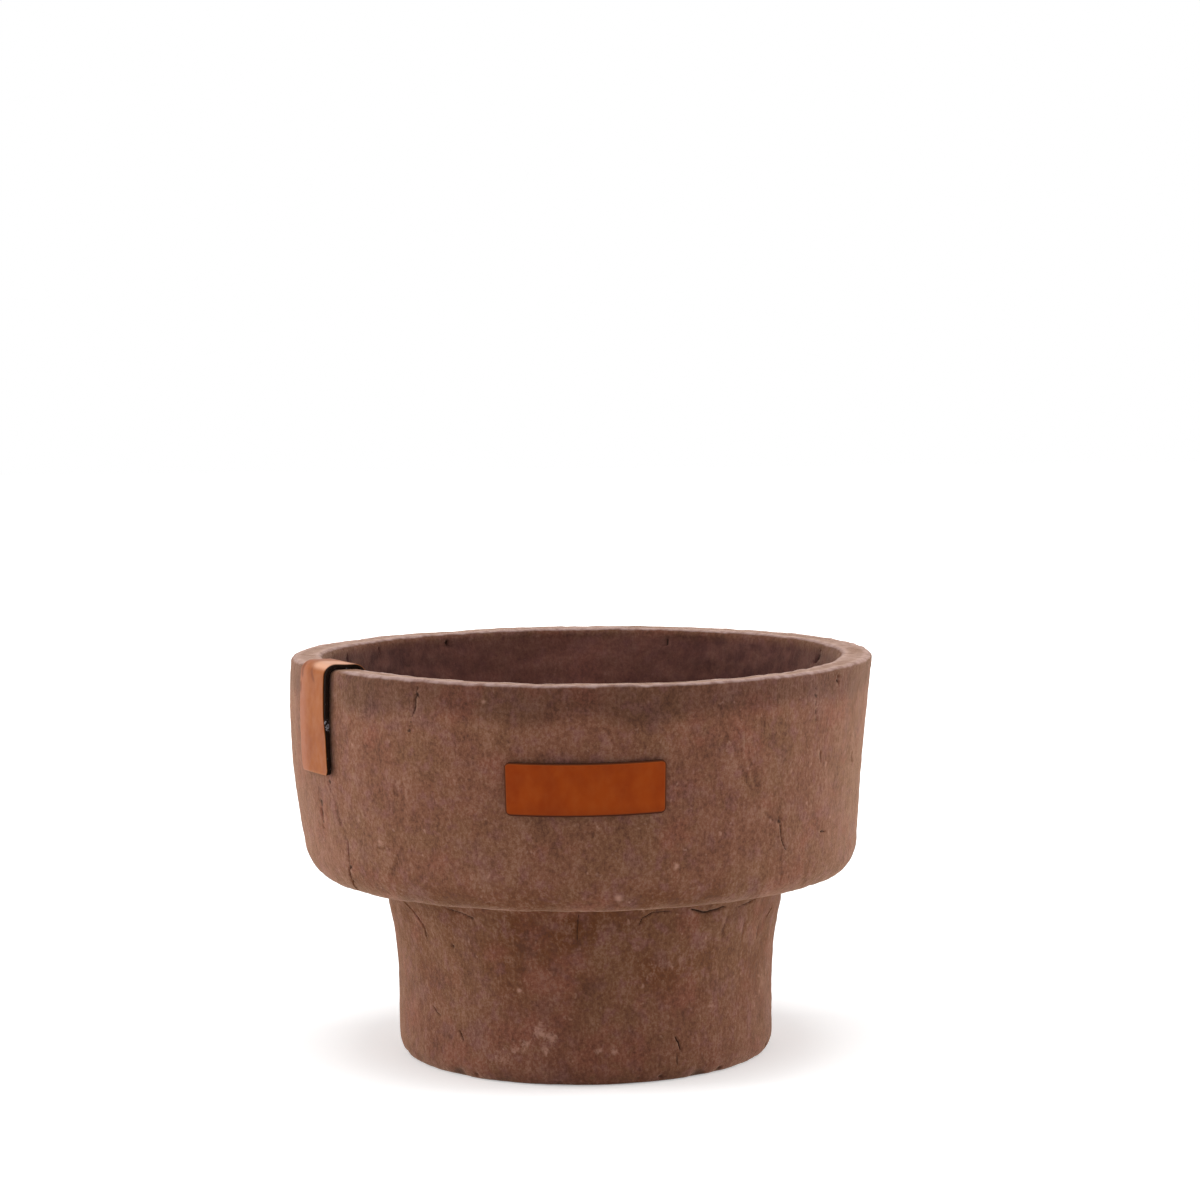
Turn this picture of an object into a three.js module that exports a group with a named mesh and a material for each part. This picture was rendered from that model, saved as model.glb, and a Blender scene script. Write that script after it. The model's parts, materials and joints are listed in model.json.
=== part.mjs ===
// A footed planter, hand moulded from brown paper and wood fibre: a wide bowl with soft lower corners
// on a narrower foot, hollow right down into the foot. A small leather label is glued to the front. A
// leather strap is folded over the rim at the left and glued to the wall outside and inside.
// Units are millimetres and +Z is up. The origin is the middle of the face that the foot stands on.
// The front is -Y. A turn is an angle about the axis from the front, positive towards +X.
import * as THREE from "three";

// Outside of the moulding, from the standing face up to the rim
const footRadius = 97;
const footEdgeWidth = 5.5;
const footEdgeHeight = 10;
const footTopRadius = 102;
const footFlare = 3.3; // power of the flare: the foot is straight low down and opens near its top
const coveWidth = 7.5;
const coveHeight = 16.6;
const undersideHeight = 94;
const undersideWidth = 19.2;
const bowlCornerWidth = 14.6;
const bowlCornerHeight = 18.6;
const bowlSwell = 1.1;
const rimRadius = 150;
const potHeight = 205.7;
const rimOuterEdge = 2.4;
const rimInnerEdge = 3.8;

// Inside of the moulding
const bowlWall = 17;
const bowlInnerCorner = 12;
const shelfThickness = 16;
const shelfLip = 8;
const footWall = 17;
const wellCorner = 9;
const floorThickness = 16;

// What the moulder's hands left: the bowl leans out to one side halfway up, and is a little out of round
const leanSize = 2.8;
const leanTurn = -90;
const twoLobeSize = 0.5;
const threeLobeSize = 0.4;
const rimLiftSize = 2.1; // and the rim rises a little on the strap's side
const rimLiftTurn = -60;
const rimLiftSharpness = 6;

// Leather label
const labelLength = 77;
const labelHeight = 26;
const labelCorner = 2.8;
const labelBelowRim = 49.4; // from the top of the rim down to the middle of the label
const labelTurn = 0.45;
const labelTilt = 0.25;
const labelBow = 0.65; // how much higher its two ends are glued than its middle

// Leather strap
const strapWidth = 30;
const strapCorner = 3;
const strapTurn = -61.5;
const strapOuterDrop = 52.5; // from the top of the rim down to the end of the leg
const strapInnerDrop = 45.5;
const strapOverRimOutside = 0.9; // the stiff leather clears the top of the rim, less so towards the inside
const strapOverRimInside = 0.6;
const strapFoldSlack = 1.2; // how much wider each fold is than it needs to be to clear the rim's edge
const strapOffOutside = 1.1; // at the middle of the flat strap, where the round wall comes nearest
const strapOffInside = 0.7; // at the strap's two edges, where the hollow wall comes nearest

// Both leathers are a thin tan skin on a thicker black backing
const skinThickness = 0.4;
const strapBackingThickness = 1.4;
const labelBackingThickness = 1.2;

// Dabs of glue, and the hair's breadth that each keeps to what it holds
const glueClearance = 0.25;
const glueCorner = 6;
const labelGlueThickness = 0.4;
const labelGlueMargin = 5;
const strapGlueMargin = 5.5; // from each edge of the strap
const strapGlueLength = 17;
const strapGlueFromEnd = 5;

// Fineness of the facets
const potSegments = 84;
const wallSteps = 6;
const cornerSteps = 5;
const edgeSteps = 3;
const labelSteps = 12;

const looks = {
  fibre: { color: 0x7a5547, roughness: 0.95, metalness: 0 },
  labelSkin: { color: 0x8f3d12, roughness: 0.5, metalness: 0 },
  strapSkin: { color: 0xb8744e, roughness: 0.5, metalness: 0 },
  backing: { color: 0x17100c, roughness: 0.9, metalness: 0 },
  glue: { color: 0xb9a58c, roughness: 0.4, metalness: 0 },
};

const radians = THREE.MathUtils.degToRad;
const shareBetween = (value, from, to) => THREE.MathUtils.clamp((value - from) / (to - from), 0, 1);

// Heights and radii that follow from the sizes above
const bowlBaseRadius = footTopRadius + coveWidth + undersideWidth + bowlCornerWidth;
const wallFoot = undersideHeight + bowlCornerHeight;
const wallTop = potHeight - rimOuterEdge;
const shelfHeight = undersideHeight + shelfThickness;
const innerWallFoot = shelfHeight + bowlInnerCorner;
const innerWallTop = potHeight - rimInnerEdge;
const strapRimHeight = potHeight + rimLift(radians(strapTurn), potHeight);

function outerWallRadius(z) {
  const share = shareBetween(z, wallFoot, wallTop);
  const straight = bowlBaseRadius + (rimRadius - bowlBaseRadius) * share;
  return straight + bowlSwell * 4 * share * (1 - share);
}

function innerWallRadius(z) {
  const share = shareBetween(z, innerWallFoot, innerWallTop);
  return bowlBaseRadius + (rimRadius - bowlBaseRadius) * share - bowlWall;
}

// How far the hands pushed the material out from the axis at a turn, a radius and a height
function handWork(turn, r, z) {
  const share = shareBetween(z, undersideHeight, potHeight);
  const lean = leanSize * 4 * share * (1 - share) * Math.cos(turn - radians(leanTurn));
  const lobes = twoLobeSize * Math.sin(2 * turn) + threeLobeSize * Math.cos(3 * turn);
  return lean + (lobes * r) / rimRadius;
}

// How far up the hands drew it at a turn and a height
function rimLift(turn, z) {
  const share = shareBetween(z, undersideHeight, potHeight);
  const near = (1 + Math.cos(turn - radians(rimLiftTurn))) / 2;
  return rimLiftSize * near ** rimLiftSharpness * share ** 2;
}

// The finished outer and inner wall at a turn and a height
function outsideAt(turn, z) {
  const r = outerWallRadius(z - rimLift(turn, z));
  return r + handWork(turn, r, z);
}

function insideAt(turn, z) {
  const r = innerWallRadius(z - rimLift(turn, z));
  return r + handWork(turn, r, z);
}

// Points of a quarter ellipse from one [r, z] to another, without the first. It sets off along r or z.
function quarter(from, to, firstAlong, steps) {
  const points = [];
  for (let i = 1; i <= steps; i += 1) {
    const angle = (i / steps) * (Math.PI / 2);
    const early = Math.sin(angle);
    const late = 1 - Math.cos(angle);
    const [shareR, shareZ] = firstAlong === "r" ? [early, late] : [late, early];
    points.push([from[0] + (to[0] - from[0]) * shareR, from[1] + (to[1] - from[1]) * shareZ]);
  }
  return points;
}

// Points of a wall between two heights, without the first
function wall(from, to, radiusAt) {
  const points = [];
  for (let i = 1; i <= wallSteps; i += 1) {
    const z = from + ((to - from) * i) / wallSteps;
    points.push([radiusAt(z), z]);
  }
  return points;
}

// Radius of a wall that flares like the foot, between a low and a high [r, z]
const flared = (low, high) => (z) =>
  low[0] + (high[0] - low[0]) * shareBetween(z, low[1], high[1]) ** footFlare;

function footProfile() {
  const standingEdge = [footRadius - footEdgeWidth, 0];
  const wallStart = [footRadius, footEdgeHeight];
  const coveStart = [footTopRadius, undersideHeight - coveHeight];
  const coveEnd = [footTopRadius + coveWidth, undersideHeight];
  return [
    [0, 0],
    standingEdge,
    ...quarter(standingEdge, wallStart, "r", edgeSteps),
    ...wall(wallStart[1], coveStart[1], flared(wallStart, coveStart)),
    ...quarter(coveStart, coveEnd, "z", cornerSteps),
  ];
}

function bowlProfile() {
  const cornerStart = [bowlBaseRadius - bowlCornerWidth, undersideHeight];
  const innerRim = innerWallRadius(innerWallTop);
  const innerEdge = [innerRim + rimInnerEdge, potHeight];
  return [
    cornerStart,
    ...quarter(cornerStart, [bowlBaseRadius, wallFoot], "r", cornerSteps),
    ...wall(wallFoot, wallTop, outerWallRadius),
    ...quarter([rimRadius, wallTop], [rimRadius - rimOuterEdge, potHeight], "z", edgeSteps),
    innerEdge,
    ...quarter(innerEdge, [innerRim, innerWallTop], "r", edgeSteps),
    ...wall(innerWallTop, innerWallFoot, innerWallRadius),
  ];
}

function wellProfile() {
  const cornerStart = [innerWallRadius(innerWallFoot), innerWallFoot];
  const shelfOuter = [cornerStart[0] - bowlInnerCorner, shelfHeight];
  const wellTop = [footTopRadius - footWall, shelfHeight - shelfLip];
  const shelfInner = [wellTop[0] + shelfLip, shelfHeight];
  const wellBottom = [footRadius - footWall, floorThickness + wellCorner];
  const floorEdge = [wellBottom[0] - wellCorner, floorThickness];
  return [
    ...quarter(cornerStart, shelfOuter, "z", cornerSteps),
    shelfInner,
    ...quarter(shelfInner, wellTop, "r", edgeSteps),
    ...wall(wellTop[1], wellBottom[1], flared(wellBottom, wellTop)),
    ...quarter(wellBottom, floorEdge, "z", edgeSteps),
    [0, floorThickness],
  ];
}

function potBody() {
  const profile = [...footProfile(), ...bowlProfile(), ...wellProfile()];
  const points = profile.map(([r, z]) => new THREE.Vector2(r, z));
  const geometry = new THREE.LatheGeometry(points, potSegments).rotateX(Math.PI / 2);
  const position = geometry.attributes.position;
  for (let i = 0; i < position.count; i += 1) {
    const x = position.getX(i);
    const y = position.getY(i);
    const r = Math.hypot(x, y);
    const onAxis = r < 1;
    if (!onAxis) {
      const z = position.getZ(i);
      const turn = Math.atan2(x, -y);
      const grown = 1 + handWork(turn, r, z) / r;
      position.setXYZ(i, x * grown, y * grown, z + rimLift(turn, z));
    }
  }
  geometry.computeVertexNormals();
  return geometry;
}

// One layer of a strip of sheet that runs through stations. A station has the point that the strip
// passes there, the unit vectors across the strip and out of its face, and its half width. The layer
// lies between two heights above the points.
function layer(stations, low, high) {
  const section = [
    [-1, low],
    [1, low],
    [1, high],
    [-1, high],
  ];
  const corners = [];
  for (const { point, across, out, half } of stations) {
    for (const [side, height] of section) {
      const corner = point.clone().addScaledVector(across, side * half);
      corners.push(...corner.addScaledVector(out, height).toArray());
    }
  }
  const last = (stations.length - 1) * section.length;
  const faces = [0, 1, 2, 0, 2, 3, last, last + 2, last + 1, last, last + 3, last + 2];
  for (let i = 0; i < last; i += section.length) {
    for (let side = 0; side < section.length; side += 1) {
      const a = i + side;
      const b = i + ((side + 1) % section.length);
      faces.push(a, a + section.length, b, b, a + section.length, b + section.length);
    }
  }
  const geometry = new THREE.BufferGeometry();
  geometry.setAttribute("position", new THREE.Float32BufferAttribute(corners, 3));
  geometry.setIndex(faces);
  geometry.computeVertexNormals();
  return geometry;
}

// Half width of a strip with round corners at a distance along it
function halfWidth(distance, length, width, corner) {
  const intoCorner = corner - Math.min(corner, distance, length - distance);
  return width / 2 - corner + Math.sqrt(corner ** 2 - intoCorner ** 2);
}

// Distances along a strip: close together round the corners at its ends, and the given ones between
function distancesAlong(length, corner, between) {
  const start = [];
  for (let i = 0; i <= edgeSteps; i += 1) {
    start.push(corner * (1 - Math.cos((i / edgeSteps) * (Math.PI / 2))));
  }
  const end = start.map((distance) => length - distance).reverse();
  const apart = corner / edgeSteps;
  const middle = between.filter((d) => d > corner + apart && d < length - corner - apart);
  return [...start, ...middle, ...end];
}

// The outer wall at a turn and a height: the point, and the unit vectors round the pot and out of it
function wallFrame(turn, z) {
  const step = 0.5;
  const at = (t, h) => {
    const r = outsideAt(t, h);
    return new THREE.Vector3(r * Math.sin(t), -r * Math.cos(t), h);
  };
  const stepTurn = step / rimRadius;
  const round = at(turn + stepTurn, z).sub(at(turn - stepTurn, z)).normalize();
  const up = at(turn, z + step).sub(at(turn, z - step)).normalize();
  return { point: at(turn, z), round, out: round.clone().cross(up).normalize() };
}

// Stations from the label's left end to its right end, on the wall behind it, in by a margin
function labelStations(margin, corner) {
  const length = labelLength - 2 * margin;
  const width = labelHeight - 2 * margin;
  const middleHeight = potHeight - labelBelowRim;
  const wallRadius = outsideAt(radians(labelTurn), middleHeight);
  const between = Array.from({ length: labelSteps }, (_, i) => (length * (i + 1)) / (labelSteps + 1));
  return distancesAlong(length, corner, between).map((distance) => {
    const offset = distance - length / 2;
    const bow = labelBow * (offset / (labelLength / 2)) ** 2;
    const z = middleHeight + offset * Math.sin(radians(labelTilt)) + bow;
    const { point, round, out } = wallFrame(radians(labelTurn) + offset / wallRadius, z);
    const across = round.clone().cross(out);
    return { point, across, out, half: halfWidth(distance, length, width, corner) };
  });
}

// Distance from the axis to the back of the strap's outer leg and of its inner leg, at a height
function outerLegAt(z) {
  return outsideAt(radians(strapTurn), z) + strapOffOutside;
}

function hollowWallAt(z, half) {
  return Math.sqrt(insideAt(radians(strapTurn), z) ** 2 - half ** 2);
}

function innerLegAt(z) {
  return hollowWallAt(z, strapWidth / 2) - strapOffInside;
}

// The back of the strap as [distance from the axis, height]: up outside, over the rim and down inside
function strapLine() {
  const outerEnd = strapRimHeight - strapOuterDrop;
  const outerTop = strapRimHeight + strapOverRimOutside;
  const innerTop = strapRimHeight + strapOverRimInside;
  const outerFoldStart = strapRimHeight - rimOuterEdge - strapFoldSlack;
  const innerFoldEnd = strapRimHeight - rimInnerEdge - strapFoldSlack;
  const outerFold = [outerLegAt(outerFoldStart), outerFoldStart];
  const innerFold = [innerLegAt(innerFoldEnd), innerFoldEnd];
  const overStart = [outerFold[0] - strapOffOutside - rimOuterEdge - strapFoldSlack, outerTop];
  const overEnd = [innerFold[0] + strapOffInside + rimInnerEdge + strapFoldSlack, innerTop];
  return [
    [outerLegAt(outerEnd), outerEnd],
    ...wall(outerEnd, outerFoldStart, outerLegAt),
    ...quarter(outerFold, overStart, "z", cornerSteps),
    overEnd,
    ...quarter(overEnd, innerFold, "r", cornerSteps),
    ...wall(innerFoldEnd, strapRimHeight - strapInnerDrop, innerLegAt),
  ];
}

// A curve through the strap's line, which gives points and directions at distances along it
function strapPath() {
  const path = new THREE.CurvePath();
  const points = strapLine().map(([x, z]) => new THREE.Vector2(x, z));
  for (let i = 1; i < points.length; i += 1) {
    path.add(new THREE.LineCurve(points[i - 1], points[i]));
  }
  return path;
}

// Stations along the strap between two distances from the lower end of its outer leg
function strapStations(path, from, to, width, corner) {
  const turn = radians(strapTurn);
  const radial = new THREE.Vector3(Math.sin(turn), -Math.cos(turn), 0);
  const across = new THREE.Vector3(Math.cos(turn), Math.sin(turn), 0);
  const up = new THREE.Vector3(0, 0, 1);
  const total = path.getLength();
  const length = to - from;
  const bends = path.getCurveLengths().map((distance) => distance - from);
  return distancesAlong(length, corner, bends).map((distance) => {
    const share = (from + distance) / total;
    const probe = 0.25 / total;
    const flat = path.getPoint(share);
    const before = path.getPoint(Math.max(0, share - probe));
    const after = path.getPoint(Math.min(1, share + probe));
    const along = after.sub(before).normalize();
    const point = radial.clone().multiplyScalar(flat.x).addScaledVector(up, flat.y);
    const out = radial.clone().multiplyScalar(along.y).addScaledVector(up, -along.x);
    return { point, across, out, half: halfWidth(distance, length, width, corner) };
  });
}

function addLabel(add) {
  const back = labelGlueThickness + 2 * glueClearance;
  const skinLow = back + labelBackingThickness;
  const stations = labelStations(0, labelCorner);
  const pad = labelStations(labelGlueMargin, glueCorner);
  add("label_glue", "glue", layer(pad, glueClearance, back - glueClearance));
  add("label_backing", "backing", layer(stations, back, skinLow));
  add("label_skin", "labelSkin", layer(stations, skinLow, skinLow + skinThickness));
}

function addStrap(add) {
  const path = strapPath();
  const length = path.getLength();
  const stations = strapStations(path, 0, length, strapWidth, strapCorner);
  const skinHigh = strapBackingThickness + skinThickness;
  add("strap_backing", "backing", layer(stations, 0, strapBackingThickness));
  add("strap_skin", "strapSkin", layer(stations, strapBackingThickness, skinHigh));

  const glueWidth = strapWidth - 2 * strapGlueMargin;
  const innerEnd = strapRimHeight - strapInnerDrop;
  const innerGap = hollowWallAt(innerEnd, glueWidth / 2) - innerLegAt(innerEnd);
  const addGlue = (name, start, gap) => {
    const pad = strapStations(path, start, start + strapGlueLength, glueWidth, glueCorner);
    add(name, "glue", layer(pad, glueClearance - gap, -glueClearance));
  };
  addGlue("strap_glue_outside", strapGlueFromEnd, strapOffOutside);
  addGlue("strap_glue_inside", length - strapGlueFromEnd - strapGlueLength, innerGap);
}

function buildPlanter() {
  const planter = new THREE.Group();
  const materials = {};
  for (const [name, look] of Object.entries(looks)) {
    materials[name] = new THREE.MeshStandardMaterial(look);
  }
  const add = (name, look, geometry) => {
    const mesh = new THREE.Mesh(geometry, materials[look]);
    mesh.name = name;
    planter.add(mesh);
  };
  add("pot_body", "fibre", potBody());
  addLabel(add);
  addStrap(add);
  return planter;
}

export default buildPlanter();
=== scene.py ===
"""Looks for a footed planter of moulded paper and wood fibre, with a leather label and a leather strap.

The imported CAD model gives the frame. Lengths are millimetres until a mesh is made. +Z is up and the
front is -Y. A turn is an angle about the axis from the front, positive towards +X.
"""
import json
from itertools import product
from math import cos, pi, radians, sin, tau

import bmesh
import bpy
import numpy as np
from mathutils import Matrix, Vector


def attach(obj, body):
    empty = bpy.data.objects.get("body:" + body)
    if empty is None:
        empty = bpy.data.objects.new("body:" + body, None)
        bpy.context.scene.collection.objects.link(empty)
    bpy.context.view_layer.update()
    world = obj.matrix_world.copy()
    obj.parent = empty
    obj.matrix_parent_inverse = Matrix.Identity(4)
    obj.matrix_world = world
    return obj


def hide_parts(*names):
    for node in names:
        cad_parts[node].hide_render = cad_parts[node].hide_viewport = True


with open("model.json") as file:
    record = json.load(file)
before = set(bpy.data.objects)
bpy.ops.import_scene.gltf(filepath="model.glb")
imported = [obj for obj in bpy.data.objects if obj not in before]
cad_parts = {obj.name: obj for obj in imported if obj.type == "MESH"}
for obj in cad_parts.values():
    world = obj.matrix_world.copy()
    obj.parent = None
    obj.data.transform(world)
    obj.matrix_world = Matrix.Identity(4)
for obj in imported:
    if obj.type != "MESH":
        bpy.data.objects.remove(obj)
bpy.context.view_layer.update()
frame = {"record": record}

MM = 0.001

# Outside of the moulding
FOOT_RADIUS = 97.0
FOOT_EDGE_WIDTH = 5.5
FOOT_EDGE_HEIGHT = 10.0
FOOT_TOP_RADIUS = 102.0
FOOT_FLARE = 3.3
COVE_WIDTH = 7.5
COVE_HEIGHT = 16.6
UNDERSIDE_HEIGHT = 94.0
UNDERSIDE_WIDTH = 19.2
BOWL_CORNER_WIDTH = 14.6
BOWL_CORNER_HEIGHT = 18.6
BOWL_SWELL = 1.1
RIM_RADIUS = 150.0
POT_HEIGHT = 205.7
RIM_OUTER_EDGE = 2.4
RIM_INNER_EDGE = 3.8

# Inside of the moulding
BOWL_WALL = 17.0
BOWL_INNER_CORNER = 12.0
SHELF_THICKNESS = 16.0
SHELF_LIP = 8.0
FOOT_WALL = 17.0
WELL_CORNER = 9.0
FLOOR_THICKNESS = 16.0

# What the moulder's hands left
LEAN_SIZE = 2.8
LEAN_TURN = radians(-90)
TWO_LOBE_SIZE = 0.5
THREE_LOBE_SIZE = 0.4
RIM_LIFT_SIZE = 2.1
RIM_LIFT_TURN = radians(-60)
RIM_LIFT_SHARPNESS = 6

# Leather label
LABEL_LENGTH = 77.0
LABEL_HEIGHT = 26.0
LABEL_CORNER = 2.8
LABEL_BELOW_RIM = 49.4
LABEL_TURN = radians(0.45)
LABEL_TILT = radians(0.25)
LABEL_BOW = 0.65

# Leather strap
STRAP_WIDTH = 30.0
STRAP_CORNER = 3.0
STRAP_TURN = radians(-61.5)
STRAP_OUTER_DROP = 52.5
STRAP_INNER_DROP = 45.5
STRAP_OVER_RIM_OUTSIDE = 0.9
STRAP_OVER_RIM_INSIDE = 0.6
STRAP_FOLD_SLACK = 1.2
STRAP_OFF_OUTSIDE = 1.1
STRAP_OFF_INSIDE = 0.7
STRAP_LIP = 0.75

# Both leathers are a thin tan skin on a thicker black backing, and glue holds them
SKIN_THICKNESS = 0.4
STRAP_BACKING_THICKNESS = 1.4
LABEL_BACKING_THICKNESS = 1.2
GLUE_CLEARANCE = 0.25
LABEL_GLUE_THICKNESS = 0.4
LABEL_GLUE_MARGIN = 5.0
STRAP_GLUE_MARGIN = 5.5
STRAP_GLUE_LENGTH = 17.0
STRAP_GLUE_FROM_END = 5.0
GLUE_CORNER = 6.0

# Width over which the rim of a sheet is rounded
LABEL_FACE_EDGE = 1.1
STRAP_FACE_EDGE = 0.55
BOARD_EDGE = 0.3
GLUE_EDGE = 0.6

# Fineness of the sheets' meshes
LABEL_STEP = 0.9
STRAP_STEP = 0.8
LABEL_GLUE_STEP = 1.2
STRAP_GLUE_STEP = 1.0

# Fineness of the pot's mesh
POT_COLUMNS = 376
FINE_STEP = 1.6
COARSE_STEP = 3.4
LINE_REACH = 1.9
SPOT_REACH = 0.9
CRACK_CUTS = 3
FOLD_CUTS = 1


def share_between(value, low, high):
    return np.clip((value - low) / (high - low), 0.0, 1.0)


def smooth_between(value, low, high):
    share = share_between(value, low, high)
    return share * share * (3.0 - 2.0 * share)


def within(value, low, high, fall_start, fall_end):
    """Rises from 0 to 1 between the first two limits, and falls back to 0 between the last two."""
    return smooth_between(value, low, high) * (1 - smooth_between(value, fall_start, fall_end))


def hump(value, middle, width):
    """1 at a middle value, falling off on both sides over about a width."""
    return np.exp(-(((value - middle) / width) ** 2))


def unit(vectors):
    return vectors / np.linalg.norm(vectors, axis=1, keepdims=True)


def about_axis(turn, r, z):
    """Points, or directions, at turns, distances from the axis and heights."""
    return np.stack([r * np.sin(turn), -r * np.cos(turn), z], axis=1)


# Heights and radii that follow from the sizes above
BOWL_BASE_RADIUS = FOOT_TOP_RADIUS + COVE_WIDTH + UNDERSIDE_WIDTH + BOWL_CORNER_WIDTH
WALL_FOOT = UNDERSIDE_HEIGHT + BOWL_CORNER_HEIGHT
WALL_TOP = POT_HEIGHT - RIM_OUTER_EDGE
SHELF_HEIGHT = UNDERSIDE_HEIGHT + SHELF_THICKNESS
INNER_WALL_FOOT = SHELF_HEIGHT + BOWL_INNER_CORNER
INNER_WALL_TOP = POT_HEIGHT - RIM_INNER_EDGE


def outer_wall_radius(z):
    share = share_between(z, WALL_FOOT, WALL_TOP)
    straight = BOWL_BASE_RADIUS + (RIM_RADIUS - BOWL_BASE_RADIUS) * share
    return straight + BOWL_SWELL * 4 * share * (1 - share)


def inner_wall_radius(z):
    share = share_between(z, INNER_WALL_FOOT, INNER_WALL_TOP)
    return BOWL_BASE_RADIUS + (RIM_RADIUS - BOWL_BASE_RADIUS) * share - BOWL_WALL


def hand_work(turn, r, z):
    share = share_between(z, UNDERSIDE_HEIGHT, POT_HEIGHT)
    lean = LEAN_SIZE * 4 * share * (1 - share) * np.cos(turn - LEAN_TURN)
    lobes = TWO_LOBE_SIZE * np.sin(2 * turn) + THREE_LOBE_SIZE * np.cos(3 * turn)
    return lean + lobes * r / RIM_RADIUS


def rim_lift(turn, z):
    share = share_between(z, UNDERSIDE_HEIGHT, POT_HEIGHT)
    near = (1 + np.cos(turn - RIM_LIFT_TURN)) / 2
    return RIM_LIFT_SIZE * near**RIM_LIFT_SHARPNESS * share**2


def wall_at(turn, z, radius_at=outer_wall_radius):
    r = radius_at(z - rim_lift(turn, z))
    return r + hand_work(turn, r, z)


STRAP_RIM_HEIGHT = POT_HEIGHT + float(rim_lift(STRAP_TURN, POT_HEIGHT))


def from_to(start, end, share_r, share_z):
    """Points between a start and an end, at shares of the way along r and along z."""
    return [
        (start[0] + (end[0] - start[0]) * a, start[1] + (end[1] - start[1]) * b)
        for a, b in zip(share_r, share_z)
    ]


def quarter(start, end, first_along, step):
    """Points of a quarter ellipse about a step apart, without the first."""
    width, height = abs(end[0] - start[0]), abs(end[1] - start[1])
    arc = 1.6 * (width + height) / 2  # near enough, as a quarter circle is 1.57 radii long
    count = max(3, round(arc / step))
    angle = np.arange(1, count + 1) / count * pi / 2
    early, late = np.sin(angle), 1 - np.cos(angle)
    return from_to(start, end, early, late) if first_along == "r" else from_to(start, end, late, early)


def flat(start, end, step):
    """Points of a straight line about a step apart, without the first."""
    count = max(2, round(np.hypot(end[0] - start[0], end[1] - start[1]) / step))
    shares = np.arange(1, count + 1) / count
    return from_to(start, end, shares, shares)


def wall(low, high, radius_at, step):
    """Points of a wall between two heights, without the first."""
    count = max(2, round(abs(high - low) / step))
    heights = low + (high - low) * np.arange(1, count + 1) / count
    return [(float(radius_at(z)), float(z)) for z in heights]


def flared(low, high):
    def radius_at(z):
        return low[0] + (high[0] - low[0]) * share_between(z, low[1], high[1]) ** FOOT_FLARE

    return radius_at


def underside_rows(step):
    return [(0.0, 0.0)] + flat((0.0, 0.0), (FOOT_RADIUS - FOOT_EDGE_WIDTH, 0.0), 4 * step)


def outside_rows(step):
    """From the foot's standing edge up the outside and over the rim to the top of the inner wall."""
    standing = (FOOT_RADIUS - FOOT_EDGE_WIDTH, 0.0)
    wall_start = (FOOT_RADIUS, FOOT_EDGE_HEIGHT)
    cove_start = (FOOT_TOP_RADIUS, UNDERSIDE_HEIGHT - COVE_HEIGHT)
    cove_end = (FOOT_TOP_RADIUS + COVE_WIDTH, UNDERSIDE_HEIGHT)
    corner_start = (BOWL_BASE_RADIUS - BOWL_CORNER_WIDTH, UNDERSIDE_HEIGHT)
    inner_rim = float(inner_wall_radius(INNER_WALL_TOP))
    outer_top = (RIM_RADIUS - RIM_OUTER_EDGE, POT_HEIGHT)
    inner_top = (inner_rim + RIM_INNER_EDGE, POT_HEIGHT)
    return (
        quarter(standing, wall_start, "r", step)
        + wall(wall_start[1], cove_start[1], flared(wall_start, cove_start), step)
        + quarter(cove_start, cove_end, "z", step)
        + flat(cove_end, corner_start, step)
        + quarter(corner_start, (BOWL_BASE_RADIUS, WALL_FOOT), "r", step)
        + wall(WALL_FOOT, WALL_TOP, outer_wall_radius, step)
        + quarter((RIM_RADIUS, WALL_TOP), outer_top, "z", 0.6 * step)
        + flat(outer_top, inner_top, 0.8 * step)
        + quarter(inner_top, (inner_rim, INNER_WALL_TOP), "r", 0.6 * step)
    )


def inside_rows(step):
    """Down the inner wall, across the shelf and down the well to the middle of its floor."""
    corner = (float(inner_wall_radius(INNER_WALL_FOOT)), INNER_WALL_FOOT)
    shelf_outer = (corner[0] - BOWL_INNER_CORNER, SHELF_HEIGHT)
    well_top = (FOOT_TOP_RADIUS - FOOT_WALL, SHELF_HEIGHT - SHELF_LIP)
    shelf_inner = (well_top[0] + SHELF_LIP, SHELF_HEIGHT)
    well_bottom = (FOOT_RADIUS - FOOT_WALL, FLOOR_THICKNESS + WELL_CORNER)
    floor_edge = (well_bottom[0] - WELL_CORNER, FLOOR_THICKNESS)
    return (
        wall(INNER_WALL_TOP, INNER_WALL_FOOT, inner_wall_radius, 0.7 * step)
        + quarter(corner, shelf_outer, "z", step)
        + flat(shelf_outer, shelf_inner, step)
        + quarter(shelf_inner, well_top, "r", step)
        + wall(well_top[1], well_bottom[1], flared(well_bottom, well_top), 1.5 * step)
        + quarter(well_bottom, floor_edge, "z", step)
        + flat(floor_edge, (0.0, FLOOR_THICKNESS), 3 * step)
    )


class Profile:
    """The pot's whole section, looked up by the distance along it from the middle of the underside."""

    def __init__(self):
        step = 0.25
        points = np.array(underside_rows(step) + outside_rows(step) + inside_rows(step))
        self.r, self.z = points[:, 0], points[:, 1]
        self.at = self.distances(points)
        along = unit(np.gradient(points, self.at, axis=0))
        self.out_r, self.out_z = along[:, 1], -along[:, 0]

    @staticmethod
    def distances(points):
        steps = np.hypot(*np.diff(np.asarray(points), axis=0).T)
        return np.concatenate([[0.0], np.cumsum(steps)])

    def place(self, s):
        return np.interp(s, self.at, self.r), np.interp(s, self.at, self.z)

    def normal(self, s):
        return np.interp(s, self.at, self.out_r), np.interp(s, self.at, self.out_z)

    def nearest(self, r, z, low=0.0, high=np.inf):
        """The distance along the section of its point nearest to r and z, between two distances."""
        inside = (self.at >= low) & (self.at <= high)
        gap = np.hypot(self.r - r, self.z - z)
        return float(self.at[np.where(inside, gap, np.inf).argmin()])


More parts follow.
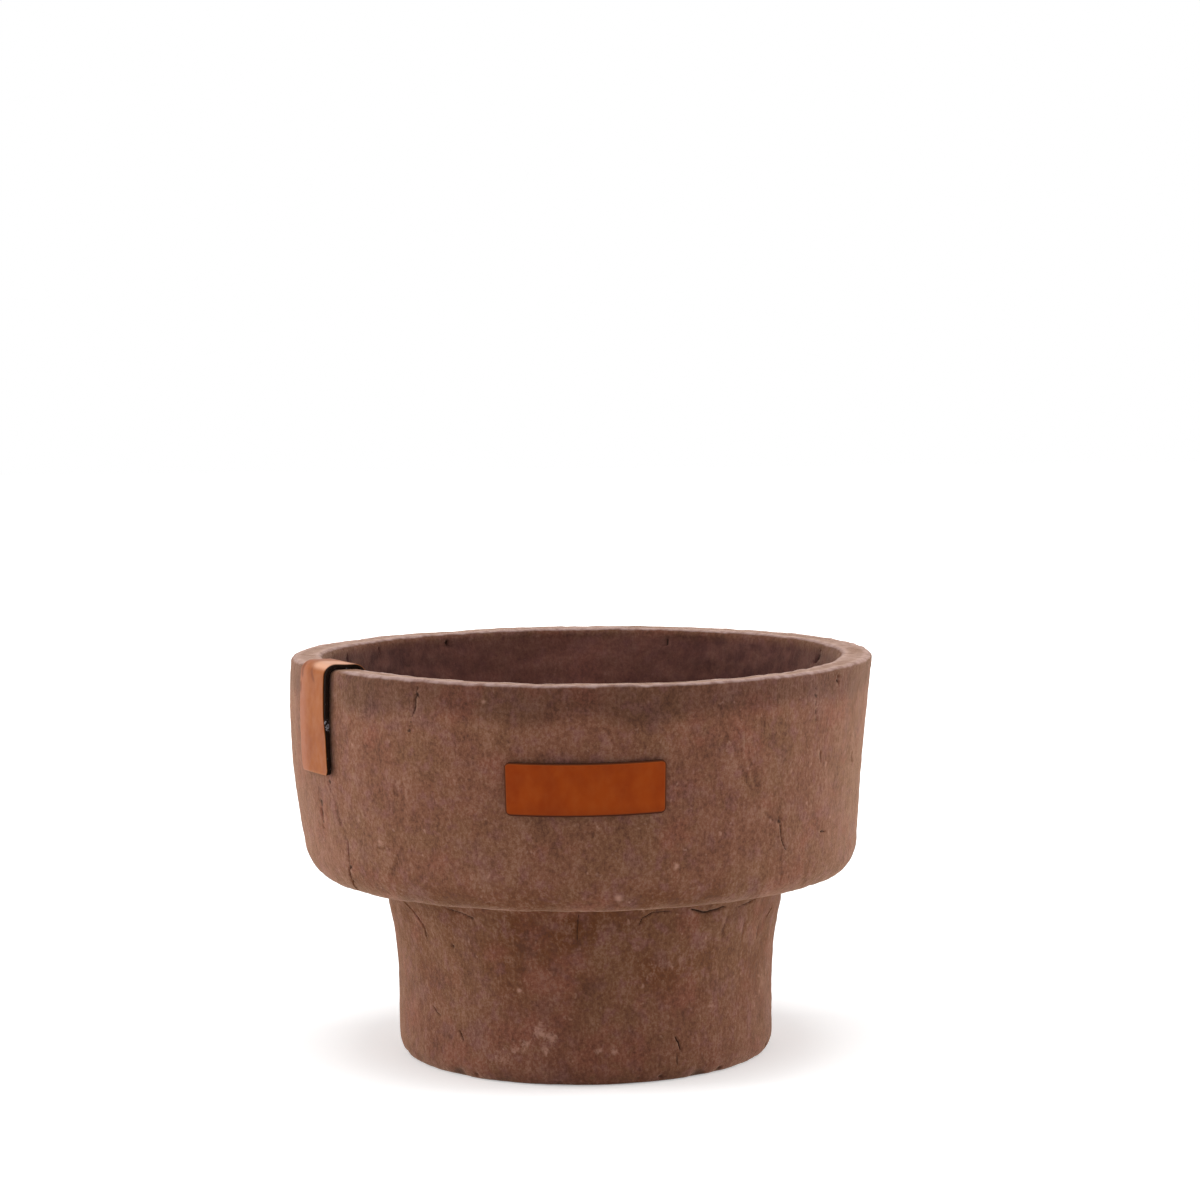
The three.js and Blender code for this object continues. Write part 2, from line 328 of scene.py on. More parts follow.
PROFILE = Profile()
RIM_S = PROFILE.nearest(RIM_RADIUS - RIM_OUTER_EDGE, POT_HEIGHT)
RIM_END_S = PROFILE.nearest(RIM_RADIUS - BOWL_WALL, INNER_WALL_TOP, RIM_S)
STANDING_S = PROFILE.nearest(FOOT_RADIUS - FOOT_EDGE_WIDTH, 0.0)
PAST_CORNER = BOWL_BASE_RADIUS - BOWL_CORNER_WIDTH + 3
BOWL_EDGE_S = PROFILE.nearest(PAST_CORNER, UNDERSIDE_HEIGHT, STANDING_S, RIM_S)
COVE_START_S = PROFILE.nearest(FOOT_TOP_RADIUS, UNDERSIDE_HEIGHT - COVE_HEIGHT, STANDING_S, RIM_S)
COVE_END_S = PROFILE.nearest(FOOT_TOP_RADIUS + COVE_WIDTH, UNDERSIDE_HEIGHT, STANDING_S, RIM_S)


def on_outside(z):
    """The distance along the section of the outside at a height."""
    slight_rise = 1e-6  # so that the bowl's flat underside too has one distance for each height
    heights = PROFILE.z + slight_rise * PROFILE.at
    part = (PROFILE.at >= STANDING_S) & (PROFILE.at <= RIM_S)
    return float(np.interp(z, heights[part], PROFILE.at[part]))


def on_inside(z):
    part = PROFILE.at >= RIM_END_S
    return float(np.interp(-z, -PROFILE.z[part], PROFILE.at[part]))


# Noise


def lattice(cell, seed):
    """A fixed value from -1 to 1 for each whole cell, from its bits mixed by large odd factors."""
    x, y, z = (cell[..., i].astype(np.uint32) for i in range(3))
    mixed = x * np.uint32(374761393) + y * np.uint32(668265263) + z * np.uint32(2246822519)
    mixed += np.uint32(seed) * np.uint32(3266489917)
    mixed = (mixed ^ (mixed >> np.uint32(13))) * np.uint32(1274126177)
    mixed = (mixed ^ (mixed >> np.uint32(16))) * np.uint32(2246822519)
    mixed ^= mixed >> np.uint32(15)
    return mixed / 2.0**31 - 1.0


def noise(points, size, seed):
    """Smooth noise from -1 to 1 with features of about a size, which may differ along x, y and z."""
    at = points / np.asarray(size)
    cell = np.floor(at).astype(np.int64)
    inside = at - cell
    ease = inside**3 * (inside * (inside * 6 - 15) + 10)
    total = np.zeros(len(points))
    for corner in product((0, 1), repeat=3):
        weight = np.prod(np.where(corner, ease, 1 - ease), axis=1)
        total += weight * lattice(cell + np.array(corner), seed)
    return total


def waves_at(points, *waves):
    """Unevenness from waves of a height, a size and a seed."""
    return sum(height * noise(points, size, seed) for height, size, seed in waves)


# Cracks, folds, chips, lumps and stains, as the photograph shows them. A turn is in degrees here.

# Width, depth, and the turn and the height of the points that the crack runs through
OUTER_CRACKS = [
    (0.8, 1.1, [(-31.8, 202.5), (-32.3, 197.0), (-32.5, 191.5), (-33.0, 188.5)]),
    (0.5, 0.25, [(-33.3, 187.5), (-34.2, 180.0)]),
    (0.7, 1.0, [(-62.6, 141.5), (-62.8, 137.0), (-62.8, 130.5), (-62.4, 126.5)]),
    (0.6, 0.7, [(-58.2, 153.5), (-57.3, 146.0)]),
    (0.8, 1.2, [(-53.3, 123.0), (-53.9, 112.0), (-55.0, 102.0), (-56.5, 96.5)]),
    (0.8, 0.9, [(-62.0, 86.0), (-59.2, 82.3), (-56.1, 78.9), (-53.8, 75.4), (-53.1, 68.8)]),
    (0.8, 0.9, [(-41.5, 87.0), (-36.5, 85.6), (-32.9, 83.5)]),
    (1.3, 1.6, [(30.4, 87.4), (32.9, 85.7), (35.6, 84.5), (39.4, 85.2), (42.5, 85.9)]),
    (0.7, 0.8, [(48.5, 84.2), (52.3, 85.1), (56.0, 86.2)]),
    (0.6, 0.7, [(69.5, 77.5), (66.4, 74.0)]),
    (0.7, 0.7, [(24.0, 87.5), (18.5, 87.5), (16.0, 84.9), (15.2, 81.5)]),
    (0.5, 0.5, [(-1.6, 88.5), (-2.2, 79.9), (-2.3, 70.1)]),
    (1.0, 1.3, [(27.0, 22.5), (28.2, 19.5), (28.9, 15.5)]),
    (0.6, 0.5, [(27.6, 14.5), (27.7, 8.0)]),
    (0.8, 1.0, [(-41.2, 23.9), (-39.5, 19.4)]),
    (0.7, 0.9, [(-52.9, 33.6), (-51.2, 30.6), (-49.4, 29.4)]),
    (0.9, 1.1, [(57.6, 202.0), (58.3, 196.8)]),
    (0.5, 0.4, [(49.8, 200.4), (50.5, 190.4), (51.1, 180.0)]),
    (1.2, 1.1, [(53.3, 165.2), (53.6, 159.8)]),
    (0.9, 0.9, [(68.6, 160.6), (69.4, 153.0)]),
    (0.8, 0.9, [(41.3, 136.5), (42.0, 130.0), (42.3, 125.0), (43.6, 118.8)]),
    (0.6, 0.6, [(42.9, 107.0), (43.0, 101.4)]),
    (1.0, 0.9, [(55.2, 124.1), (57.0, 123.6)]),
]

# The same inside the bowl, where the far wall shows
INNER_CRACKS = [
    (1.6, 1.0, [(178.5, 200.5), (178.6, 193.0)]),
    (1.7, 1.3, [(107.2, 201.5), (108.4, 198.0), (109.8, 194.0)]),
    (1.7, 1.2, [(-125.0, 201.5), (-125.0, 195.0)]),
    (1.5, 1.2, [(-111.0, 200.8), (-111.3, 192.0)]),
    (2.0, 1.3, [(-146.3, 202.5), (-146.0, 197.5)]),
    (1.5, 0.9, [(158.8, 201.0), (159.2, 195.5)]),
]

# Soft folds, each a groove with a low ridge on its left, or a ridge where the depth is below 0
OUTER_FOLDS = [
    (1.1, 0.4, [(-57.4, 147.0), (-56.4, 140.5), (-55.9, 134.5), (-54.5, 128.7), (-53.4, 121.5)]),
    (1.3, -0.35, [(-35.1, 160.0), (-35.2, 147.8), (-35.5, 134.0)]),
    (1.3, 0.35, [(-36.3, 128.5), (-39.4, 116.0), (-41.3, 108.4), (-42.8, 100.5)]),
    (1.0, 0.3, [(-37.6, 157.5), (-38.3, 150.6), (-36.2, 148.5)]),
    (1.0, 0.3, [(-44.5, 122.4), (-39.0, 122.2)]),
    (1.4, 0.35, [(25.8, 197.0), (26.7, 184.8), (27.7, 179.4), (26.6, 173.5), (27.8, 167.0)]),
    (1.3, 0.3, [(36.0, 190.5), (36.2, 181.0)]),
    (1.3, 0.25, [(28.6, 178.0), (30.4, 168.0), (32.2, 158.0), (34.6, 148.0), (36.4, 139.0)]),
    (1.2, 0.25, [(31.8, 176.5), (33.1, 166.4), (34.4, 155.8), (36.3, 146.5)]),
    (1.2, -0.25, [(30.0, 186.0), (31.5, 178.0), (32.0, 168.0)]),
    (1.0, 0.25, [(6.2, 186.0), (6.2, 180.4), (7.4, 173.0)]),
    (1.0, 0.25, [(3.7, 186.5), (5.2, 179.6), (6.7, 172.8)]),
    (1.0, 0.25, [(10.6, 180.5), (12.2, 172.5)]),
    (0.9, 0.2, [(13.6, 178.0), (12.7, 172.5)]),
    (1.1, 0.35, [(37.2, 140.0), (38.6, 136.4), (40.0, 134.4), (41.6, 133.4)]),
    (1.1, 0.3, [(61.9, 74.0), (61.3, 63.0)]),
    (1.1, 0.3, [(52.4, 79.0), (52.1, 62.0)]),
    (1.2, 0.3, [(45.0, 84.0), (43.0, 74.0), (42.6, 66.0)]),
]

# Size, depth, turn and height of round dents outside
OUTER_DENTS = [
    (1.9, 1.0, -41.9, 66.9),
    (1.7, 0.9, -33.0, 83.3),
    (3.6, 1.2, 74.9, 3.8),
    (2.8, 1.0, 44.7, 2.2),
    (2.6, 0.9, 22.7, 2.6),
    (3.0, 0.6, 16.0, 2.6),
    (2.6, 0.5, -8.0, 2.4),
    (2.4, 0.8, -35.3, 2.6),
    (2.2, 0.6, -19.5, 98.3),
    (2.4, 0.7, -45.0, 20.0),
]

# The same inside the bowl
INNER_DENTS = [
    (2.2, 0.7, 176.0, 178.0),
    (1.8, 0.8, 150.0, 184.0),
    (2.0, 0.7, -165.0, 197.0),
    (2.4, 0.8, -135.0, 190.0),
]

# Size, strength, turn and height of pale, scuffed places outside
PALE_PLACES = [
    (5.0, 1.0, -13.2, 28.0),
    (4.5, 1.0, -10.2, 24.0),
    (4.0, 0.9, -11.9, 19.5),
    (6.0, 0.75, -25.5, 13.5),
    (4.5, 0.75, -21.4, 17.7),
    (3.5, 0.9, -18.2, 20.6),
    (2.4, 0.95, 3.6, 18.8),
    (3.0, 0.95, 8.0, 18.2),
    (4.0, 0.5, 17.5, 116.6),
    (4.0, 0.5, -43.4, 123.7),
    (3.0, 0.5, 58.0, 99.0),
    (4.0, 0.5, -12.0, 104.0),
]

# Size, strength, turn and height of small pale lumps of pulp
LUMPS = [
    (1.9, 1.0, 17.8, 116.7),
    (1.0, 0.6, 10.4, 136.7),
    (1.6, 0.4, 2.3, 114.3),
    (1.4, 0.3, 0.5, 109.3),
    (1.8, 0.35, 10.0, 115.3),
    (2.2, 0.8, 6.6, 102.3),
    (1.2, 0.5, 22.8, 105.3),
    (1.6, 0.3, 22.3, 123.1),
    (1.4, 0.7, -19.6, 48.2),
    (1.3, 0.4, 20.6, 78.2),
    (1.2, 0.5, 39.5, 56.0),
    (1.4, 0.45, -18.2, 197.3),
    (1.3, 0.4, -8.4, 175.6),
    (2.4, 0.5, -48.8, 135.7),
    (2.0, 0.9, -43.3, 124.8),
]

# Size, strength, turn and height of dark stains
STAINS = [
    (8.0, 0.9, -16.5, 70.0),
    (5.0, 0.8, -18.5, 59.0),
    (5.0, 0.7, -9.0, 58.0),
    (4.0, 0.6, 24.0, 61.0),
    (5.0, 0.6, -45.0, 38.0),
    (7.0, 0.6, -7.0, 8.0),
    (5.0, 0.5, 30.0, 34.0),
    (6.0, 0.5, 29.0, 197.0),
]

# Marks of the same kinds on the sides and the back: how many, the sizes and the strengths between
# which each is drawn, and the greatest length of a line, or 0 for a round spot
HIDDEN_MARKS = {
    "cracks": (14, (0.6, 1.1), (0.6, 1.3), 20),
    "folds": (12, (1.0, 1.5), (0.25, 0.4), 34),
    "dents": (12, (1.6, 3.0), (0.5, 1.1), 0),
    "pale": (10, (2.5, 6.0), (0.5, 1.0), 0),
    "lumps": (16, (1.0, 2.2), (0.3, 1.0), 0),
    "stains": (6, (5, 10), (0.4, 0.8), 0),
}


def hidden_mark(rng, sizes, strengths, longest):
    size, strength = rng.uniform(*sizes), rng.uniform(*strengths)
    right, left = rng.uniform(84, 174), rng.uniform(-174, -88)
    turn = float(rng.choice([right, left]))
    on_foot, on_bowl = rng.uniform(8, 84), rng.uniform(106, 198)
    z = float(rng.choice([on_foot, on_bowl]))
    if not longest:
        return size, strength, turn, z
    length = longest * rng.uniform(0.4, 1.0)
    turns = turn + np.cumsum(rng.normal(0, 0.35, 4))
    heights = np.maximum(z - length * np.arange(4) / 3, 3.0)
    return size, strength, list(zip(turns.tolist(), heights.tolist()))


def hidden_marks(seed):
    rng = np.random.default_rng(seed)
    return {
        kind: [hidden_mark(rng, *form) for _ in range(count)]
        for kind, (count, *form) in HIDDEN_MARKS.items()
    }


UNSEEN = hidden_marks(11)


def laid_lines(lines, s_at=on_outside):
    """Lines as width, depth, and points of turn and distance along the section."""
    return [(*form, [(radians(turn), s_at(z)) for turn, z in line]) for *form, line in lines]


def laid_spots(spots, s_at=on_outside):
    """Spots as size, strength, turn and distance along the section."""
    return [(*form, radians(turn), s_at(z)) for *form, turn, z in spots]


CRACK_LINES = laid_lines(OUTER_CRACKS + UNSEEN["cracks"]) + laid_lines(INNER_CRACKS, on_inside)
FOLD_LINES = laid_lines(OUTER_FOLDS + UNSEEN["folds"])
DENT_SPOTS = laid_spots(OUTER_DENTS + UNSEEN["dents"]) + laid_spots(INNER_DENTS, on_inside)
PALE_SPOTS = laid_spots(PALE_PLACES + UNSEEN["pale"])
LUMP_SPOTS = laid_spots(LUMPS + UNSEEN["lumps"])
STAIN_SPOTS = laid_spots(STAINS + UNSEEN["stains"])


def gap_to_line(turn, s, line):
    """Distance in millimetres of each point from a line on the surface, above 0 on its left where the
    line runs down, and the share along the line."""
    radius = PROFILE.place(line[0][1])[0]
    best = np.full(len(turn), np.inf)
    share = np.zeros(len(turn))
    lengths = [np.hypot((b[0] - a[0]) * radius, b[1] - a[1]) for a, b in zip(line, line[1:])]
    before = 0.0
    for (a, b), length in zip(zip(line, line[1:]), lengths):
        run = np.array([(b[0] - a[0]) * radius, b[1] - a[1]]) / length
        dx, dy = (turn - a[0]) * radius, s - a[1]
        along = np.clip(dx * run[0] + dy * run[1], 0, length)
        gap = np.hypot(dx - along * run[0], dy - along * run[1])
        gap = np.where(dx * run[1] > dy * run[0], gap, -gap)
        closer = np.abs(gap) < np.abs(best)
        best = np.where(closer, gap, best)
        share = np.where(closer, (before + along) / sum(lengths), share)
        before += length
    return best, share


def spot_gap(turn, s, turn_at, s_at):
    radius = PROFILE.place(s_at)[0]
    across = (turn - turn_at + pi) % tau - pi
    return np.hypot(across * radius, s - s_at)


def spots_at(turn, s, spots):
    """How strongly each point is touched by soft round spots."""
    touched = np.zeros(len(s))
    for size, strength, turn_at, s_at in spots:
        touched = np.maximum(touched, strength * hump(spot_gap(turn, s, turn_at, s_at), 0, size))
    return touched


# The pot's mesh is made on a flat chart of turn and distance along the section, and then laid in space


def chart_rings():
    """Rows of the chart: the distance along the section, and how many columns the row has."""
    parts = [
        (underside_rows(COARSE_STEP), POT_COLUMNS // 2),
        (outside_rows(FINE_STEP), POT_COLUMNS),
        (inside_rows(COARSE_STEP), POT_COLUMNS // 2),
    ]
    points = [point for rows, _ in parts for point in rows]
    columns = [count for rows, count in parts for _ in rows]
    return Profile.distances(points), columns


def make_chart():
    """A bmesh whose x is the turn and y the distance along the section, finer near each small mark."""
    mesh = bmesh.new()
    rings = []
    distances, columns = chart_rings()
    total = PROFILE.at[-1] / distances[-1]
    for index, (s, count) in enumerate(zip(distances * total, columns)):
        at_axis = index in (0, len(columns) - 1)
        turns = [0.0] if at_axis else [-pi + tau * (i + 0.5) / count for i in range(count)]
        rings.append([mesh.verts.new((turn, s, 0.0)) for turn in turns])
    for low, high in zip(rings, rings[1:]):
        stitch(mesh, low, high)
    refine(mesh, near_cracks_and_spots, CRACK_CUTS)
    refine(mesh, near_folds, FOLD_CUTS)
    return mesh


def stitch(mesh, low, high):
    """Faces between two rings that have as many vertices, twice as many, half as many, or one."""
    count = max(len(low), len(high))
    low_per, high_per = len(low) / count, len(high) / count
    for i in range(count):
        j = (i + 1) % count
        bottom = [low[int(i * low_per)], low[int(j * low_per)]]
        top = [high[int(j * high_per)], high[int(i * high_per)]]
        unique = list(dict.fromkeys(bottom + top))
        if len(unique) > 2:
            mesh.faces.new(unique)


def near_lines(turn, s, lines):
    near = np.zeros(len(turn), bool)
    for width, _, line in lines:
        near |= np.abs(gap_to_line(turn, s, line)[0]) < width / 2 + LINE_REACH
    return near


def near_cracks_and_spots(turn, s):
    near = near_lines(turn, s, CRACK_LINES)
    for size, _, turn_at, s_at in DENT_SPOTS + LUMP_SPOTS:
        near |= spot_gap(turn, s, turn_at, s_at) < size + SPOT_REACH
    return near


def near_folds(turn, s):
    return near_lines(turn, s, FOLD_LINES) & ~near_cracks_and_spots(turn, s)


def refine(mesh, near_at, cuts):
    """Cuts the chart's edges that have both ends near a mark."""
    turn, s = np.array([v.co[:2] for v in mesh.verts]).T
    for vert, near in zip(mesh.verts, near_at(turn, s)):
        vert.tag = bool(near)
    edges = [e for e in mesh.edges if e.verts[0].tag and e.verts[1].tag]
    bmesh.ops.subdivide_edges(mesh, edges=edges, cuts=cuts, use_grid_fill=True)


def lay(turn, s):
    """Points of the smooth pot at turns and distances along the section, and their outward normals."""
    r, z = PROFILE.place(s)
    out_r, out_z = PROFILE.normal(s)
    grown = np.where(r > 1, r + hand_work(turn, r, z), r)
    return about_axis(turn, grown, z + rim_lift(turn, z)), unit(about_axis(turn, out_r, out_z))


def near_trim(turn, s):
    """1 behind the label and the strap, where the moulding is pressed smooth, fading to 0."""
    _, z = PROFILE.place(s)
    label_z = POT_HEIGHT - LABEL_BELOW_RIM
    strap_end = STRAP_RIM_HEIGHT - STRAP_OUTER_DROP

    def close_to(distance, half, margin):
        return 1 - smooth_between(distance, half, half + margin)

    label = close_to(np.abs(turn - LABEL_TURN) * RIM_RADIUS, LABEL_LENGTH / 2, 9)
    label = label * close_to(np.abs(z - label_z), LABEL_HEIGHT / 2, 7)
    strap = close_to(np.abs(turn - STRAP_TURN) * RIM_RADIUS, STRAP_WIDTH / 2, 17)
    strap = strap * smooth_between(z, strap_end - 8, strap_end)
    return np.maximum(np.where(s < RIM_S, label, 0.0), strap)


def pot_relief(turn, s, points):
    """How far each point stands out from the smooth pot, and the marks that the material shows."""
    r, z = PROFILE.place(s)

    # The whole moulding
    waves = waves_at(points, (0.26, 62, 1), (0.2, 24, 2))
    lumps = waves_at(points, (0.18, 10, 3), (0.14, 5, 4))
    grain = waves_at(points, (0.12, 2.8, 5), (0.1, (4, 4, 24), 6))
    relief = waves + lumps + grain

    # The rim: ragged and crumbled, lower towards the inside at the front, and pale with wear, less so next
    # to the strap, where that is a painted shadow of the strap
    trim = near_trim(turn, s)
    rim = within(s, RIM_S - 3.8, RIM_S - 1.8, RIM_END_S - 4.6, RIM_END_S - 1.2)
    ragged = waves_at(points, (0.14, 7, 7), (0.07, 3.4, 8))
    crumbs = -0.6 * np.maximum(0, noise(points, (8.0, 8.0, 5.0), 9) - 0.42)
    inward = within(s, RIM_S, RIM_END_S - 5.5, RIM_END_S - 5.5, RIM_END_S)
    relief = relief + rim * (ragged + crumbs) - 0.65 * inward * smooth_between(np.cos(turn), 0.2, 0.8)
    rim_edges = hump(s, RIM_S, 1.8) + hump(s, RIM_END_S - 5.2, 1.8)
    wear_and_painted_light = rim * (0.66 + 0.45 * rim_edges + 0.16 * noise(points, 34, 17)) * (1 - 0.8 * trim)

    # The inside, with the marks of sweeping fingers
    hollow = smooth_between(s, RIM_END_S - 2.0, RIM_END_S + 3.0)
    swept = 0.3 * noise(points, (16.0, 16.0, 3.2), 21)
    relief = relief + hollow * (waves_at(points, (0.7, 30, 10), (0.5, 12, 11)) + swept - 0.4)

    # Chips round the standing edge
    base = (1 - smooth_between(z, 2.0, 9.0)) * (1 - hollow)
    chips = base * np.minimum(0, waves_at(points, (1.2, 11, 12), (0.6, 5, 13)) + 0.1)
    relief = relief + chips

    # Pressed smooth behind the trim, and flat underneath
    relief = relief * (1 - 0.72 * trim) - 0.12 * trim
    underneath = 1 - smooth_between(s, STANDING_S - 1.0, STANDING_S + 4.0)
    relief = np.where(underneath > 0, relief * (1 - underneath) - 0.02 * underneath, relief)
    relief = np.where(r < 1, 0.0, relief)
    relief = relief + cove_fill(turn, s, points)

    # Cracks, folds, dents and lumps
    line_relief, crack, fold = line_marks(turn, s, points)
    dent = spots_at(turn, s, [(0.6 * size, depth, *place) for size, depth, *place in DENT_SPOTS])
    lump = spots_at(turn, s, LUMP_SPOTS) * (1 + 0.8 * noise(points, 1.6, 20))
    relief = relief + line_relief - dent + 0.25 * lump

    # What only the colour shows
    # A painted highlight along the bowl's lower edge at the front, added to the pale scuffs
    bowl_edge_highlight = hump(s, BOWL_EDGE_S, 3.5) * smooth_between(turn, radians(-48), radians(-34))
    pale = spots_at(turn, s, PALE_SPOTS) + 0.4 * bowl_edge_highlight * (1 + 0.7 * noise(points, 14, 15))
    lowest = 0.5 + 0.5 * noise(points, (26.0, 26.0, 60.0), 16)
    shade = smooth_between(z, 180 + 9 * lowest, 190 + 8 * lowest) * (1 - hollow) * (1 - 0.6 * trim)
    # Painted shade inside the bowl, strongest on its side walls and deep down
    side_shade = np.clip(1.5 * np.abs(np.sin(turn)) + 0.15 * np.sin(turn), 0, 1)
    deep_shade = 1 - smooth_between(z, INNER_WALL_FOOT + 5, INNER_WALL_FOOT + 50)

    marks = {
        "shade": shade,
        "crack": crack,
        # Cracks, dents and chips are darkened in the colour: painted shade in these recesses
        "fold": fold,
        "dent": np.minimum(dent / 1.6 - 0.5 * chips, 1.0),
        "lump": lump,
        "pale": pale,
        "stain": spots_at(turn, s, STAIN_SPOTS),
        "wear_and_painted_light": wear_and_painted_light,
        "hollow": hollow * (side_shade + (0.8 - side_shade) * deep_shade),
        "inside": hollow,
        "swept": hollow * swept,
        # Raised places paler and low ones darker in the colour: painted shading of the relief
        "height": np.clip(0.5 + lumps + grain, 0, 1),
    }
    return relief, marks


def cove_fill(turn, s, points):
    """Pulp smoothed into the corner between the foot and the bowl, most of it at the front's left."""
    here = within(s, COVE_START_S, COVE_END_S, COVE_END_S, BOWL_EDGE_S - 2)
    left = hump(turn, radians(-64), radians(24))
    right = hump(turn, radians(66), radians(20))
    return here * (0.8 + 2.8 * left + 1.2 * right + 0.4 * noise(points, 22, 18))


def line_marks(turn, s, points):
    """The relief of cracks and folds, how far open each point is, and folds from -1, low, to 1, high,
    which the colour shows as painted light and shade.
    """
    relief, crack, fold = np.zeros((3, len(s)))
    for width, depth, line in CRACK_LINES:
        gap, share = gap_to_line(turn, s, line)
        wobble = 0.18 * width * noise(points, 1.7, 14)
        open_width = width * (0.35 + 0.65 * np.sqrt(np.sin(np.clip(share, 0.02, 0.98) * pi)))
        across = 1 - smooth_between(np.abs(gap + wobble), 0.12 * open_width, 0.75 * open_width)
        away = np.abs(gap)
        lip = within(away, 0.6 * width, 1.1 * width, 1.1 * width, 2.6 * width)
        relief = relief + depth * (0.12 * lip - across)
        crack = np.maximum(crack, across)
    for width, depth, line in FOLD_LINES:
        gap, share = gap_to_line(turn, s, line)
        gap = gap + 0.5 * width * noise(points, 4.0, 19)
        fade = np.sqrt(np.sin(np.clip(share, 0.0, 1.0) * pi))
        form = 0.6 * hump(gap, 1.6 * width, width) - hump(gap, 0, width)
        relief = relief + depth * form * fade
        fold = fold + np.sign(depth) * form * fade
    return relief, crack, fold


def make_pot():
    chart = make_chart()
    mesh = bpy.data.meshes.new("pot_moulding")
    chart.to_mesh(mesh)
    chart.free()
    flat_points = np.zeros(len(mesh.vertices) * 3)
    mesh.vertices.foreach_get("co", flat_points)
    turn, s = flat_points.reshape(-1, 3)[:, 0], flat_points.reshape(-1, 3)[:, 1]
    points, normals = lay(turn, s)
    relief, marks = pot_relief(turn, s, points)
    points = points + normals * relief[:, None]
    points[:, 2] = np.maximum(points[:, 2], 0.0)
    mesh.vertices.foreach_set("co", (points * MM).ravel())
    write_marks(mesh, marks)
    mesh.update()
    return new_piece("pot_moulding", mesh)


def write_marks(mesh, marks):
    for name, values in marks.items():
        layer = mesh.attributes.new(name, "FLOAT", "POINT")
        layer.data.foreach_set("value", values.astype(np.float32))


def new_piece(name, mesh):
    piece = bpy.data.objects.new(name, mesh)
    bpy.context.scene.collection.objects.link(piece)
    mesh.polygons.foreach_set("use_smooth", np.ones(len(mesh.polygons), bool))
    return piece


# Leather and glue: closed sheets laid along stations


class Sheet:
    """A closed sheet with rounded corners and a rounded rim. Its middle line has points at known
    distances along it, and frames holds these points and the unit vectors across and out of each."""

    def __init__(self, distances, frames, width, corner, step):
        self.distances, self.frames = distances, frames
        self.width, self.step = width, step
        from_end = np.minimum(distances, distances[-1] - distances)
        into_corner = corner - np.minimum(corner, from_end)
        self.halves = width / 2 - corner + np.sqrt(np.maximum(corner**2 - into_corner**2, 0))

    def side_shares(self):
        count = max(6, round(self.width / self.step))
        even = np.linspace(-1, 1, count + 1)
        from_rim = np.array([0.15, 0.35, 0.7, 1.1]) * 2 / self.width
        return np.unique(np.concatenate([even, -1 + from_rim, 1 - from_rim]).round(6))

    def build(self, name, low, high, edge, bulge=None, lip=0.0, inset=None, marks=()):
        """The sheet between two heights above its line, with its rim rounded over the width of an edge.

        Bulge, of the distances along and across, is added to the upper face. Inset, of the distance
        along, draws in the side where the one across is above 0. Lip turns the lower edges down.
        """
        sides = self.side_shares()
        along = np.repeat(self.distances, len(sides))
        offset = (self.halves[:, None] * sides[None, :]).ravel()
        half = np.repeat(self.halves, len(sides))
        if inset is not None:
            offset = offset - inset(along) * np.maximum(offset / half, 0)
        rim_gap = np.minimum(half - np.abs(offset), np.minimum(along, self.distances[-1] - along))
        rounding = 1 - np.sqrt(1 - (1 - np.clip(rim_gap / edge, 0, 1)) ** 2)
        thickness = high - low
        top = high - 0.6 * thickness * rounding
        turned_down = lip * (1 - smooth_between(half - np.abs(offset), 0.6, 2.4))
        bottom = low + 0.3 * thickness * rounding - turned_down
        if bulge is not None:
            top = top + bulge(along, offset)
        base, across, out = (np.repeat(vectors, len(sides), axis=0) for vectors in self.frames)
        middle = base + across * offset[:, None]
        both = np.concatenate([middle + out * top[:, None], middle + out * bottom[:, None]])
        mesh = bpy.data.meshes.new(name)
        mesh.from_pydata((both * MM).tolist(), [], self.faces(len(self.distances), len(sides)))
        mesh.update()
        found = {"side": offset, "rim_gap": rim_gap}
        found.update((mark, of_place(along, offset)) for mark, of_place in marks)
        write_marks(mesh, {mark: np.tile(values, 2) for mark, values in found.items()})
        return mesh

    @staticmethod
    def faces(rows, columns):
        index = np.arange(rows * columns).reshape(rows, columns)
        total = rows * columns
        a, b, c, d = index[:-1, :-1], index[:-1, 1:], index[1:, 1:], index[1:, :-1]
        upper = np.stack([a, b, c, d], axis=-1).reshape(-1, 4)
        lower = np.stack([a, d, c, b], axis=-1).reshape(-1, 4) + total
        loop = np.concatenate([index[0, :-1], index[:-1, -1], index[-1, :0:-1], index[:0:-1, 0]])
        following = np.roll(loop, -1)
        rim = np.stack([loop, loop + total, following + total, following], axis=-1)
        return np.concatenate([upper, lower, rim]).tolist()


def sheet_distances(length, corner, step):
    """Distances along a sheet, close together round the corners at its ends."""
    angle = np.linspace(0, pi / 2, 6)
    start = corner * (1 - np.cos(angle))
    middle = np.linspace(corner, length - corner, max(3, round((length - 2 * corner) / step)) + 1)
    return np.concatenate([start, middle[1:-1], length - start[::-1]])


def wall_frame(turn, z):
    """The outer wall at turns and heights: points, and the unit vectors round the pot and out of it."""
    step = 0.5

    def at(turns, heights):
        return about_axis(turns, wall_at(turns, heights), heights)

    around = unit(at(turn + step / RIM_RADIUS, z) - at(turn - step / RIM_RADIUS, z))
    up = unit(at(turn, z + step) - at(turn, z - step))
    return at(turn, z), around, unit(np.cross(around, up))


def label_sheet(margin, corner, step):
    length, width = LABEL_LENGTH - 2 * margin, LABEL_HEIGHT - 2 * margin
    middle_height = POT_HEIGHT - LABEL_BELOW_RIM
    wall_radius = float(wall_at(LABEL_TURN, middle_height))
    distances = sheet_distances(length, corner, step)
    offset = distances - length / 2
    bow = LABEL_BOW * (offset / (LABEL_LENGTH / 2)) ** 2
    heights = middle_height + offset * sin(LABEL_TILT) + bow
    points, around, out = wall_frame(LABEL_TURN + offset / wall_radius, heights)
    return Sheet(distances, (points, np.cross(around, out), out), width, corner, step)


def outer_leg_at(z):
    return wall_at(STRAP_TURN, z) + STRAP_OFF_OUTSIDE


